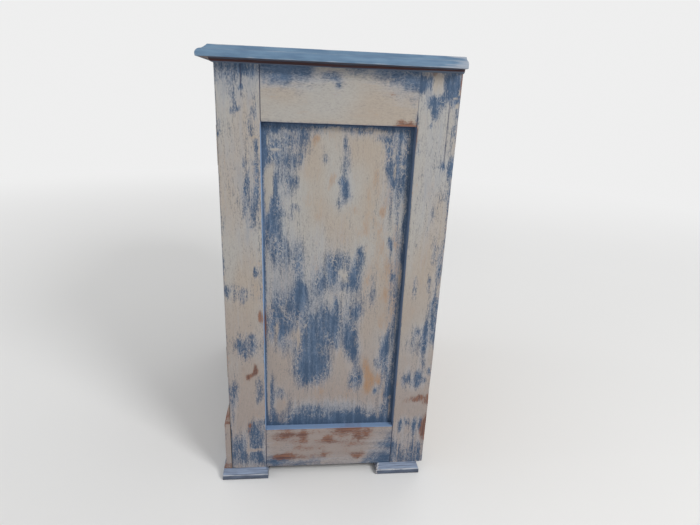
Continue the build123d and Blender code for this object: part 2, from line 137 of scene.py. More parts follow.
# A web of fine broken lines, 1 on the line, with cells of about the given millimetres.
def web(tree, at, size, width, seed):
    bend = put(tree, "ShaderNodeTexNoise", {"noise_dimensions": "3D"},
               {"Vector": at.scaled((90.0, 90.0, 60.0)).shifted((seed, seed, seed)), "Detail": 2.0}, out=1)
    where = at.scaled(tuple(perMetre / s for s in size)).shifted((seed * 1.3, seed, -seed))
    bent = where.shifted(bend.scaled((1.1, 1.1, 1.1)))
    gap = put(tree, "ShaderNodeTexVoronoi", {"feature": "DISTANCE_TO_EDGE"}, {"Vector": bent, "Scale": 1.0})
    return 1.0 - gap.between(width * 0.3, width)


def newMaterial(name, sheen):
    material = bpy.data.materials.new(name)
    material.use_nodes = True
    feed(material.node_tree, "Specular IOR Level", sheen)
    return material, material.node_tree


def feed(tree, title, value):
    socket = tree.nodes["Principled BSDF"].inputs[title]
    if isinstance(value, Wire):
        tree.links.new(value.socket, socket)
    else:
        socket.default_value = value


def bump(tree, height, depth, strength):
    # height runs from 0 to 1 and depth is what that is in millimetres
    return put(tree, "ShaderNodeBump", {}, {"Height": height, "Distance": depth * mm, "Strength": strength})


def finished(material, colour, roughness, relief):
    feed(material.node_tree, "Base Color", colour)
    feed(material.node_tree, "Roughness", roughness)
    feed(material.node_tree, "Normal", relief)
    return material


paint = {
    # The third cream below is cream darkened as painted shade, used near the floor.
    "creamCool": (0.378, 0.360, 0.335), "creamWarm": (0.376, 0.326, 0.276), "creamShadedLow": (0.300, 0.255, 0.236),
    # The third blue below is a pale blue as painted highlight, for recess faces that catch the light.
    "blueDeep": (0.044, 0.078, 0.138), "blueMid": (0.095, 0.150, 0.240), "blueLedgeHighlight": (0.215, 0.320, 0.500),
    "hazePale": (0.362, 0.374, 0.402), "hazeDeep": (0.185, 0.222, 0.275), "navy": (0.022, 0.026, 0.060),
    "wood": (0.225, 0.095, 0.055), "woodDark": (0.090, 0.035, 0.028), "amber": (0.330, 0.182, 0.088),
    "brushDark": (0.90, 0.90, 0.90), "brushLight": (1.06, 1.06, 1.06),
    "rawDark": (0.26, 0.165, 0.085), "rawLight": (0.42, 0.30, 0.175), "rust": (0.17, 0.065, 0.03),
}


def along(direction, across, length):
    return tuple(length if axis == direction else across for axis in "xyz")


# Cream over blue over brown wood, rubbed through where the piece's own marks say.
def rubbedPaint(name, direction, look):
    material, tree = newMaterial(name, 0.3)
    at = place(tree)
    seed = look["seed"]

    def lumps(across, length, detail, roughness, shift):
        return noise(tree, at, along(direction, across, length), detail, roughness, seed + shift)

    streak = lumps(look["streak"], look["streak"] * look["stretch"], 3.0, 0.6, 0)
    speck = lumps(look["speck"], look["speck"] * 1.8, 3.0, 0.65, 5)
    brush = lumps(5.0, 60, 2.0, 0.5, 8)
    patch = lumps(12, 32, 3.0, 0.55, 11)
    broad = lumps(60, 120, 1.0, 0.5, 17)
    fine = web(tree, at, along(direction, look["web"], look["web"] * 1.6), look["line"], seed + 3)
    rubbed, arris, bare = mark(tree, "rubbed"), mark(tree, "arris"), mark(tree, "bare")
    stain, seam, ledge = mark(tree, "stain"), mark(tree, "seam"), mark(tree, "ledge")
    raw, low, crackAndShade, haze = mark(tree, "raw"), mark(tree, "low"), mark(tree, "crackAndShade"), mark(tree, "haze")

    # how much of the cream is left, with some held in the cracks of the blue
    grit = streak * 0.5 + speck * 0.5
    thick = (grit - 0.5) * look["bite"] + (patch - 0.5) * 0.6 + (brush - 0.5) * look["brush"]
    cover = look["cover"] + thick - rubbed * 1.05 - arris * 0.35 - ledge * 1.2
    creamShare = cover.between(-look["soften"], look["soften"])
    caught = fine * patch.between(0.38, 0.60) * speck.between(0.30, 0.50)
    caught = caught * (1.0 - rubbed.between(0.90, 1.25)) * look["caught"] * (1.0 - ledge)
    creamShare = creamShare.most(caught)

    cream = blend(tree, broad.between(0.38, 0.62), paint["creamCool"], paint["creamWarm"])
    # painted shade: the cream darkens towards the floor
    cream = blend(tree, low, cream, paint["creamShadedLow"])
    veil = haze + (brush - 0.5) * 0.9 + (patch - 0.5) * 0.5
    cream = blend(tree, veil.between(0.1, 0.8) * 0.5, cream, paint["hazePale"])
    cream = blend(tree, veil.between(0.45, 1.1) * 0.5, cream, paint["hazeDeep"])
    stained = (stain * 1.1 + (patch - 0.5) * 1.6 + (streak - 0.5) * 1.2).between(0.1, 1.2)
    cream = blend(tree, stained * 0.8, cream, paint["amber"])
    brushed = blend(tree, grit.between(0.30, 0.72), paint["brushDark"], paint["brushLight"])
    cream = blend(tree, 1.0, cream, brushed, "MULTIPLY")
    # painted shade: the blue is darker towards the floor too
    blueShare = (grit * 1.4 + brush * 0.9 + patch * 0.5 - 0.85 - low * 0.15).between(0.25, 0.85)
    blue = blend(tree, blueShare, paint["blueDeep"], paint["blueMid"])
    # painted highlight: recess faces that catch the light take a paler blue
    blue = blend(tree, ledge * look["ledgeHighlight"], blue, paint["blueLedgeHighlight"])
    coat = blend(tree, creamShare, blue, cream)

    # the wood below, the unpainted faces, dirt in the cracks and joints, and painted shade on recess faces
    # turned from the light and under the top rail
    grain = lumps(1.6, 60, 4.0, 0.6, 31)
    wood = blend(tree, grain.between(0.35, 0.65), paint["woodDark"], paint["wood"])
    bareShare = bare * 1.1 + arris * look["arrisBare"] + (grit - 0.5) * 1.8 + (patch - 0.5) * 1.0
    bareShare = bareShare.between(0.34, 1.0)
    coat = blend(tree, bareShare * (1.0 - ledge * 0.75) * 0.9, coat, wood)
    inner = blend(tree, grain.between(0.3, 0.7), paint["rawDark"], paint["rawLight"])
    coat = blend(tree, raw.between(0.45, 0.55), coat, inner)
    # navy in the cracks, and painted shade on recess faces turned from the light and along the top of the
    # opening
    coat = blend(tree, crackAndShade.between(0.35, 0.8) * 0.7, coat, paint["navy"])
    coat = blend(tree, seam.between(0.25, 0.95) * 0.85, coat, paint["navy"])
    roughness = 0.72 - creamShare * 0.12 + (streak - 0.5) * 0.25 - bareShare * 0.08
    height = creamShare * 0.35 + grit * 0.45 + fine * 0.12 - bareShare * 0.3 - seam * 0.8 - crackAndShade * 0.5
    return finished(material, coat, roughness, bump(tree, height, look["relief"], 0.85))


# One coat of blue, gone pale on its ridges and brown where it has chipped.
def bluePaint(name, direction, look):
    material, tree = newMaterial(name, 0.4)
    at = place(tree)
    seed = look["seed"]
    streak = noise(tree, at, along(direction, 1.5, 40), 3.0, 0.6, seed)
    patch = noise(tree, at, along(direction, look["patch"], look["patch"] * 4.4), 3.0, 0.6, seed + 3)
    speck = noise(tree, at, (1.6, 1.6, 1.6), 3.0, 0.6, seed + 9)
    grain = noise(tree, at, along(direction, 1.6, 60), 4.0, 0.6, seed + 31)
    arris, bare, rubbed = mark(tree, "arris"), mark(tree, "bare"), mark(tree, "rubbed")
    ledge, seam, raw = mark(tree, "ledge"), mark(tree, "seam"), mark(tree, "raw")
    blue = blend(tree, (streak * 0.35 + patch * 0.65).between(0.34, 0.66), look["dark"], look["light"])
    # painted highlight: the upward slope of a foot takes a paler blue, as if lit from above
    blue = blend(tree, ledge, blue, blend(tree, streak.between(0.35, 0.65), look["light"], look["slope"]))
    worn = (arris * 0.62 + rubbed * 0.8 + (patch - 0.5) * 0.9 + (streak - 0.5) * 0.7).between(0.42, 0.72)
    coat = blend(tree, worn * 0.9, blue, look["worn"])
    chip = (bare + arris * look["chips"] + (speck - 0.5) * 1.6 + (patch - 0.5) * 0.8).between(0.62, 0.76)
    coat = blend(tree, chip, coat, blend(tree, streak.between(0.35, 0.65), paint["woodDark"], paint["wood"]))
    coat = blend(tree, seam.between(0.2, 0.9) * 0.8, coat, paint["navy"])
    inner = blend(tree, grain.between(0.3, 0.7), look["rawDark"], look["rawLight"])
    coat = blend(tree, raw.between(0.45, 0.55), coat, inner)
    roughness = 0.58 + (streak - 0.5) * 0.3 + worn * 0.12
    height = streak * 0.5 + speck * 0.2 - chip * 0.6 + worn * 0.1
    return finished(material, coat, roughness, bump(tree, height, look["relief"], 0.8))


# Unpainted timber. Growth rings are stretched along the board, and bend round a knot here and there.
def plainWood(name, direction, look):
    material, tree = newMaterial(name, 0.35)
    at = place(tree)
    seed = look["seed"]
    lengthways = at.measured(along(direction, 0.0, perMetre / look["knotGap"]))
    sideways = at.measured(along(direction, 2.1 * perMetre / look["knotGap"], 0.0))
    spot = put(tree, "ShaderNodeCombineXYZ", {}, {0: lengthways + seed, 1: sideways + seed * 2})
    cells = {"voronoi_dimensions": "2D", "feature": "F1"}
    away = put(tree, "ShaderNodeTexVoronoi", cells, {"Vector": spot, "Scale": 1.0})
    which = put(tree, "ShaderNodeTexVoronoi", cells, {"Vector": spot, "Scale": 1.0}, out=1)
    away = away * (0.75 + which * 0.9) + (1.0 - which.between(0.42, 0.46)) * 0.5
    knot, flow = 1.0 - away.between(0.030, 0.055), 1.0 - away.between(0.03, 0.26)
    bowed = at.shifted(flow * flow * 0.016)
    bend = noise(tree, bowed, along(direction, 45, 260), 2.0, 0.5, seed)
    rings = noise(tree, bowed, along(direction, look["ring"], look["ring"] * 45), 3.0, 0.55, seed + 4)
    pores = noise(tree, bowed, along(direction, 0.7, 22), 2.0, 0.7, seed + 8)
    grime = noise(tree, bowed, along(direction, 50, 90), 3.0, 0.6, seed + 12)
    figure = (rings * 0.75 + bend * 0.45 - 0.1).between(0.35, 0.72)
    colour = blend(tree, figure, look["light"], look["dark"])
    colour = blend(tree, pores.between(0.52, 0.75) * 0.45, colour, look["pore"])
    colour = blend(tree, flow * 0.35, colour, look["dark"])
    colour = blend(tree, knot * 0.85, colour, look["knot"])
    colour = blend(tree, grime.between(0.48, 0.75) * look["grime"], colour, look["dirt"])
    if "lap" in look:
        # its neighbours' paint runs a little over both long edges, and further up near the back
        bottom, top = look["lap"]
        backward = at.measured((0.0, perMetre, 0.0)).between(60.0, 150.0)
        ragged = at.measured((0.0, 0.0, perMetre)) + (grime - 0.5) * 2.2 + (rings - 0.5) * 1.2
        above = ragged - bottom - backward * 1.1
        colour = blend(tree, (1.0 - above.between(0.7, 1.5)) * 0.85, colour, look["lapped"])
        colour = blend(tree, (ragged - top).between(-1.5, -0.3) * 0.7, colour, look["lapped"])
    roughness = look["rough"] + (pores - 0.5) * 0.25
    return finished(material, colour, roughness, bump(tree, rings * 0.6 + pores * 0.4, 0.12, 0.7))


def agedMetal(name, look):
    material, tree = newMaterial(name, 0.5)
    at = place(tree)
    mottle = noise(tree, at, (3.5, 3.5, 3.5), 4.0, 0.65, look["seed"])
    scratch = noise(tree, at, (0.5, 0.5, 7), 2.0, 0.5, look["seed"] + 3)
    rust = (mottle + (scratch - 0.5) * 0.3).between(0.52, 0.66)
    colour = blend(tree, mottle.between(0.3, 0.7), look["dark"], look["light"])
    colour = blend(tree, rust * look["rust"], colour, paint["rust"])
    feed(tree, "Metallic", 1.0 - rust * look["rust"])
    roughness = look["rough"] + rust * 0.3 + (scratch - 0.5) * 0.3
    return finished(material, colour, roughness, bump(tree, mottle * 0.6 + scratch * 0.4, 0.06, 0.6))


stage("finishes")
sideLook = {
    "streak": 1.4, "stretch": 10.0, "brush": 0.9, "web": 8.0, "line": 0.085, "speck": 1.5, "cover": 0.63,
    "bite": 2.2, "soften": 0.42, "ledgeHighlight": 0.9, "caught": 0.75, "arrisBare": 0.40, "relief": 0.3,
    "seed": 2.0,
}
panelLook = {
    **sideLook, "streak": 1.3, "stretch": 6.0, "bite": 2.5, "soften": 0.55, "caught": 0.95, "web": 5.5,
    "line": 0.13, "relief": 0.4, "seed": 4.0, "arrisBare": 0.2,
}
railLook = {**sideLook, "seed": 7.0, "stretch": 4.0, "brush": 0.35, "bite": 1.9, "soften": 0.6}
uprightPaint = rubbedPaint("uprightPaint", "z", {**sideLook, "stretch": 6.0, "bite": 2.7, "soften": 0.46})
railPaint = rubbedPaint("railPaint", "y", railLook)
crossPaint = rubbedPaint("crossPaint", "x", {**sideLook, "seed": 9.0, "streak": 1.8})
panelPaint = rubbedPaint("panelPaint", "z", panelLook)
topLook = {
    "rawDark": (0.045, 0.018, 0.016), "rawLight": (0.120, 0.052, 0.036),
    "dark": (0.088, 0.162, 0.262), "light": (0.140, 0.235, 0.345), "worn": (0.320, 0.360, 0.420),
    "slope": (0.2, 0.3, 0.42), "chips": 0.28, "patch": 9.0, "relief": 0.25, "seed": 3.0,
}
# A foot's "slope" colour is a painted highlight for its upward-facing slope.
footLook = {
    **topLook, "rawDark": (0.20, 0.12, 0.065), "rawLight": (0.34, 0.235, 0.14),
    "dark": (0.045, 0.056, 0.084), "light": (0.112, 0.142, 0.205), "worn": (0.46, 0.475, 0.50),
    "slope": (0.25, 0.31, 0.43), "chips": 0.38, "seed": 8.0,
}
topPaint = bluePaint("topPaint", "y", topLook)
topFacePaint = bluePaint("topFacePaint", "x", {**topLook, "patch": 26.0, "relief": 0.12, "seed": 6.0})
footPaint = bluePaint("footPaint", "y", footLook)
knobPaint = bluePaint("knobPaint", "y", {**topLook, "chips": 0.45, "seed": 12.0})
# The strip under the top. "lap" gives the heights of its lower and upper edge, "lapped" the paint on them.
stripLook = {
    "light": (0.058, 0.012, 0.011), "dark": (0.028, 0.006, 0.008), "pore": (0.014, 0.005, 0.006),
    "dirt": (0.020, 0.016, 0.028), "grime": 0.4, "ring": 2.2, "rough": 0.55, "seed": 3.0,
    "knotGap": 900.0, "knot": (0.02, 0.01, 0.01), "lap": (597.0, 602.0), "lapped": (0.100, 0.140, 0.200),
}
redWood = plainWood("redWood", "y", stripLook)
pineLook = {
    "light": (0.46, 0.335, 0.20), "dark": (0.30, 0.185, 0.095), "pore": (0.20, 0.12, 0.06),
    "dirt": (0.17, 0.12, 0.08), "grime": 0.55, "ring": 2.8, "rough": 0.62, "seed": 1.0,
    "knotGap": 250.0, "knot": (0.105, 0.045, 0.022),
}
backLook = {
    **pineLook, "light": (0.33, 0.245, 0.165), "dark": (0.195, 0.125, 0.078), "grime": 0.5, "rough": 0.7,
    "seed": 9.0,
}
pineAcross = plainWood("pineAcross", "x", pineLook)
pineDeep = plainWood("pineDeep", "y", {**pineLook, "seed": 5.0})
backPine = plainWood("backPine", "z", backLook)
hingeIron = agedMetal("hingeIron", {"dark": (0.16, 0.13, 0.10), "light": (0.42, 0.36, 0.27), "rust": 0.55,
                                    "rough": 0.38, "seed": 2.0})
latchSteel = agedMetal("latchSteel", {"dark": (0.24, 0.24, 0.24), "light": (0.50, 0.50, 0.49), "rust": 0.35,
                                      "rough": 0.34, "seed": 6.0})


# Smooth values between -1 and 1 whose swells are about `size` millimetres across.
def swell(points, size, seed):
    cell = points / np.asarray(size, float) + seed * 7.31
    floor = np.floor(cell).astype(np.int64)
    part = cell - floor
    part = part * part * (3 - 2 * part)
    total = np.zeros(len(points))
    for corner in range(8):
        step = np.array([corner & 1, corner >> 1 & 1, corner >> 2 & 1])
        key = ((floor + step) * np.array([73856093, 19349663, 83492791])).sum(1) + int(seed * 100) * 26544
        key = ((key ^ (key >> 13)) * 1274126177) & 0xffffffff
        value = ((key ^ (key >> 16)) & 0xffff) / 32767.5 - 1
        total += value * np.where(step, part, 1 - part).prod(1)
    return total


def swoop(value, low, high):
    # 0 below low, 1 above high, and an even swell between them
    share = np.clip((value - low) / (high - low), 0, 1)
    return share * share * (3 - 2 * share)


def shadeTowardsFloor(points):
    # 1 near the floor, fading out upwards along a wavy line: where the paint is darkened as painted shade
    return 1 - swoop(points[:, 2] + 20 * swell(points, 60, 3), 40, 420)


# Where a face is divided: close together at both arrises, then evenly.
def cuts(low, high, step, extra=()):
    near = np.array([0, 0.12, 0.3, 0.55, 0.85, 1.25, 1.8, 2.6])
    near = near[near < (high - low) * 0.42]
    start, end = low + near[-1], high - near[-1]
    middle = np.linspace(start, end, max(2, int(round((end - start) / step)) + 1))
    lines = np.concatenate([low + near, middle, high - near])
    extra = [cut for cut in extra if low < cut < high]
    for cut in extra:
        lines = lines[np.abs(lines - cut) > 0.4 * min(step, 1.0)]
    return np.unique(np.round(np.concatenate([lines, extra]), 4))


# The skin of a box as a grid of quads that share their corners, facing outwards.
def boxSkin(lines):
    points, quads, start = [], [], 0
    for axis in range(3):
        first, second = (axis + 1) % 3, (axis + 2) % 3
        for end in (0, -1):
            grid = np.zeros((len(lines[first]), len(lines[second]), 3))
            grid[..., first] = lines[first][:, None]
            grid[..., second] = lines[second][None, :]
            grid[..., axis] = lines[axis][end]
            index = start + np.arange(grid.shape[0] * grid.shape[1]).reshape(grid.shape[:2])
            here, beyond, across, beside = index[:-1, :-1], index[1:, :-1], index[1:, 1:], index[:-1, 1:]
            corners = (here, beyond, across, beside) if end else (here, beside, across, beyond)
            quads.append(np.stack(corners, -1).reshape(-1, 4))
            points.append(grid.reshape(-1, 3))
            start += index.size
    points, quads = np.concatenate(points), np.concatenate(quads)
    shared, where = np.unique(np.round(points, 4), axis=0, return_inverse=True)
    return shared, where.reshape(-1)[quads]


def piece(name, points, faces, marks, material, body, stands, sharp=None):
    mesh = bpy.data.meshes.new(name)
    mesh.from_pydata((points * mm).tolist(), [], faces)
    for key, values in marks.items():
        layer = mesh.attributes.new(key, "FLOAT", "POINT")
        layer.data.foreach_set("value", np.asarray(values, np.float32))
    mesh.polygons.foreach_set("use_smooth", [True] * len(mesh.polygons))
    if sharp:
        mesh.set_sharp_from_angle(angle=math.radians(sharp))
    mesh.materials.append(material)
    mesh.update()
    made = bpy.data.objects.new(name, mesh)
    bpy.context.scene.collection.objects.link(made)
    finish(made, body, stands)
    return made


def finish(made, body, stands):
    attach(made, body)
    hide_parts(*stands)


sides = {"x-": (0, 0), "x+": (0, 1), "y-": (1, 0), "y+": (1, 1), "z-": (2, 0), "z+": (2, 1)}
farOff = 99.0


def distances(points, low, high):
    return {key: np.abs(points[:, axis] - (high if end else low)[axis]) for key, (axis, end) in sides.items()}


# How far each point is from the nearest listed edge. A row is (side, side, lowest height, highest height).
def edgeDistance(points, gap, rows):
    nearest = np.full(len(points), farOff)
    for first, second, bottom, top in rows:
        within = (points[:, 2] > bottom) & (points[:, 2] < top)
        nearest = np.minimum(nearest, np.where(within, np.hypot(gap[first], gap[second]), farOff))
    return nearest


def onFaces(gap, keys, reach):
    # 1 within reach of any of the named sides
    if not keys:
        return np.zeros(len(gap["x-"]))
    return np.max([np.where(gap[key] < reach, 1.0, 0.0) for key in keys], 0)


def flatOn(across, height):
    return np.stack([across, height, np.zeros(len(across))], 1)


# Soft-edged dabs that build up where they meet.
# A row is (across, height, half width, half height, amount), and may end in how far it leans.
def dabs(across, height, rows, seed, spread=1.0):
    if not rows:
        return np.zeros(len(across))
    clear = np.ones(len(across))
    flat = flatOn(across, height)
    sway = swell(flat, (5, 8, 1), seed) * 1.0 + swell(flat, (13, 26, 1), seed + 1) * 2.2
    rise = swell(flat, (3.2, 12, 1), seed + 2) * 4.0 + swell(flat, (11, 16, 1), seed + 3) * 4.0
    for midAcross, midHeight, halfWide, halfHigh, amount, *lean in rows:
        slant = lean[0] if lean else 0.0
        wander = across + sway * min(1.0, halfWide / 4.0) - midAcross - slant * (height - midHeight)
        climb = height + rise * min(1.0, halfHigh / 6.0) - midHeight
        sideways = np.abs(wander / (halfWide + 1.3 * spread))
        upwards = np.abs(climb / (halfHigh + 2.2 * spread))
        reach = (sideways ** 2.3 + upwards ** 2.3) ** (1 / 2.3)
        clear *= 1 - min(amount, 0.98) * (1 - swoop(reach, 0.2, 1.55))
    return 1 - clear


# A board with eased, slightly uneven arrises. `worn` and `seams` list its rubbed edges and its joints, `raw`
# its unpainted sides, `ledge` its sides towards the panel, painted blue with a painted highlight, and `dim`
# those of them that get painted shade, `seats` what is let into it, and `barrels` its upright round hollows.
def board(name, low, high, material, body, stands, paintMarks=None, worn=(), seams=(), raw=(), ledge=(),
          dim=(), step=(3.0, 3.0, 3.0), seats=(), barrels=(), ease=0.35, wornEase=1.5, ripple=0.12, seed=1):
    low, high = np.array(low, float), np.array(high, float)
    extra = [[], [], []]
    beside = (-0.03, 0.03)   # a cut just before and just after each end of a hollow keeps its corners crisp
    for seatLow, seatHigh, axis, bed in seats:
        for side in range(3):
            extra[side] += [end + shift for end in (seatLow[side], seatHigh[side]) for shift in beside]
    for centre, radius, bottom, top in barrels:
        extra[2] += [end + shift for end in (bottom, top) for shift in beside]
    points, quads = boxSkin([cuts(low[k], high[k], step[k], extra[k]) for k in range(3)])
    gap = distances(points, low, high)
    flat = points.copy()

    edge = edgeDistance(flat, gap, worn)
    uneven = 1 + 0.35 * swell(flat, 22, seed) + 0.25 * swell(flat, 7, seed + 1)
    nick = swoop(swell(flat, (5, 5, 8), seed + 2), 0.45, 0.95) * 1.3
    rubbing = np.clip(1.6 - edge / (2.2 * wornEase), 0, 1)
    radius = ease + (wornEase * uneven + nick * wornEase * 0.7 - ease) * rubbing
    radius = np.clip(radius, 0.1, (high - low).min() * 0.42)
    inner = np.clip(points, low + radius[:, None], high - radius[:, None])
    away = points - inner
    length = np.maximum(np.linalg.norm(away, axis=1), 1e-6)
    points = inner + away * (radius / length)[:, None]
    sunk = ripple * (0.55 + 0.3 * swell(flat, 38, seed + 4) + 0.15 * swell(flat, 11, seed + 5))
    points = points - away / length[:, None] * np.clip(sunk, 0, None)[:, None]

    for seatLow, seatHigh, axis, bed in seats:
        within = ((points > np.array(seatLow) - 0.02) & (points < np.array(seatHigh) + 0.02)).all(1)
        points[within, axis] = bed
    for centre, radius, bottom, top in barrels:
        away = points[:, :2] - np.array(centre)
        length = np.linalg.norm(away, axis=1)
        within = (length < radius) & (flat[:, 2] > bottom) & (flat[:, 2] < top)
        points[within, :2] = np.array(centre) + away[within] / length[within, None] * radius

    marks = {
        "arris": 1 - swoop(edge, 0.3, 3.4),
        "seam": 1 - swoop(edgeDistance(flat, gap, seams), 0.25, 0.85),
        "raw": onFaces(gap, raw, 0.01),
        "ledge": onFaces(gap, ledge, 0.2),
        "low": shadeTowardsFloor(flat),
    }
    for key in ledge:   # behind the panel the paint stops
        marks["raw"] = np.maximum(marks["raw"], np.where((gap[key] < 0.2) & (gap[raw[0]] < 6.5), 1.0, 0.0))
    if paintMarks:
        marks.update(paintMarks(flat))
        # painted shade: the recess faces turned away from the light go towards navy
        marks["crackAndShade"] = np.maximum(marks["crackAndShade"], 0.62 * onFaces(gap, dim, 0.2))
    return piece(name, points, quads.tolist(), marks, material, body, stands, 38)


# Patches that differ from board to board where nothing is set by hand: clusters of rubs, most by an edge.
def looseDabs(width, bottom, top, seed, count, heavy=1.0):
    dice = np.random.default_rng(seed)
    rows, chips = [], []
    for cluster in range(count // 5):   # clusters of rubs
        nearEdge = dice.random() < 0.6
        across = dice.choice([0.0, width]) + dice.normal(0, 7) if nearEdge else dice.random() * width
        height = bottom + dice.random() * (top - bottom)
        amount = heavy * dice.uniform(0.35, 0.95)
        for rub in range(dice.integers(3, 9)):
            wide = dice.uniform(1.0, 5.5)
            rows.append((across + dice.normal(0, 8), height + dice.normal(0, 24), wide,
                         wide * dice.uniform(1.0, 6.0), amount * dice.uniform(0.45, 1.0),
                         dice.normal(0, 0.12)))
    for chip in range(count // 7):   # chips down to the wood
        height = bottom + dice.random() * (top - bottom)
        chips.append((dice.random() * width, height, dice.uniform(2, 9), dice.uniform(1.5, 4.5),
                      dice.uniform(0.4, 0.9)))
    ends = 0.85 * heavy
    rows.append((width * dice.random(), top, width * dice.uniform(0.3, 0.6), dice.uniform(6, 14), ends))
    rows.append((width * dice.random(), bottom, width * dice.uniform(0.25, 0.5), dice.uniform(14, 30), ends))
    return rows, chips


# The bare band along the four edges of a panel. `opening` is (near, far, bottom, top) of what shows of it.
def edgeBand(across, height, opening, band, seed):
    near, far, bottom, top = opening
    flat = flatOn(across, height)
    wobble = 1 + 0.45 * swell(flat, (9, 24, 1), seed) + 0.35 * swell(flat, (30, 70, 1), seed + 1)
    wobble = np.clip(wobble, 0.3, 2)
    clear = np.ones(len(across))
    for gap, wide in zip((across - near, far - across, height - bottom, top - height), band):
        clear *= 1 - 0.96 * (1 - swoop(gap / (wide * wobble), 0.45, 1.6))
    return 1 - clear


# Turns rows of dabs into marks for every point. `across` reads a point's place from the near edge.
def marksFrom(across, seed, rubbed=(), cream=(), bare=(), stain=(), cracks=(), haze=(), opening=None,
              band=(6, 6, 12, 5)):
    def read(points):
        where, height = across(points), points[:, 2]
        rub = dabs(where, height, rubbed, seed)
        cover = dabs(where, height, cream, seed + 10, 0.35)
        crackAndShade = dabs(where, height, cracks, seed + 20, 0.25)
        veil = dabs(where, height, haze, seed + 50, 5.0)
        thin = np.maximum(dabs(where, height, rubbed, seed, 4.5) * 0.6, veil)
        if opening:
            edge = edgeBand(where, height, opening, band, seed + 60)
            rub = 1 - (1 - rub) * (1 - edge)
            thin = np.maximum(thin, edge)
            # painted shadow along the top of the opening under the top rail, together with dark unworn paint
            # in that corner
            crackAndShade = np.maximum(crackAndShade, 1 - swoop(opening[3] - height, 1.2, 3.2))
        return {
            "rubbed": np.clip(rub + thin * 0.34 - cover * 0.95, -0.7, 1.25) + crackAndShade * 0.3,
            "haze": np.clip(thin - cover * 0.6, 0, 1),
            "bare": dabs(where, height, bare, seed + 30, 1.6),
            "stain": dabs(where, height, stain, seed + 40, 1.4),
            "crackAndShade": crackAndShade,
        }
    return read


# Wide thin places in the cream, as (across, height, half width, half height, amount).
rightHaze = {
    "frame": [
        (85, 592, 48, 13, 0.85), (250, 586, 52, 20, 0.7), (22, 584, 26, 26, 0.7), (276, 470, 24, 120, 0.55),
        (24, 470, 28, 90, 0.5), (40, 400, 12, 100, 0.35), (26, 46, 30, 34, 0.7), (232, 34, 18, 26, 0.65),
        (275, 44, 26, 34, 0.55), (150, 18, 90, 5, 0.5), (12, 250, 12, 120, 0.25),
    ],
    "panel": [
        (76, 462, 20, 68, 0.6), (76, 340, 20, 52, 0.6), (135, 332, 48, 66, 0.55), (120, 240, 20, 48, 0.65),
        (88, 296, 32, 26, 0.6), (226, 458, 20, 72, 0.55), (238, 170, 9, 80, 0.3), (150, 98, 94, 20, 0.9),
    ],
}

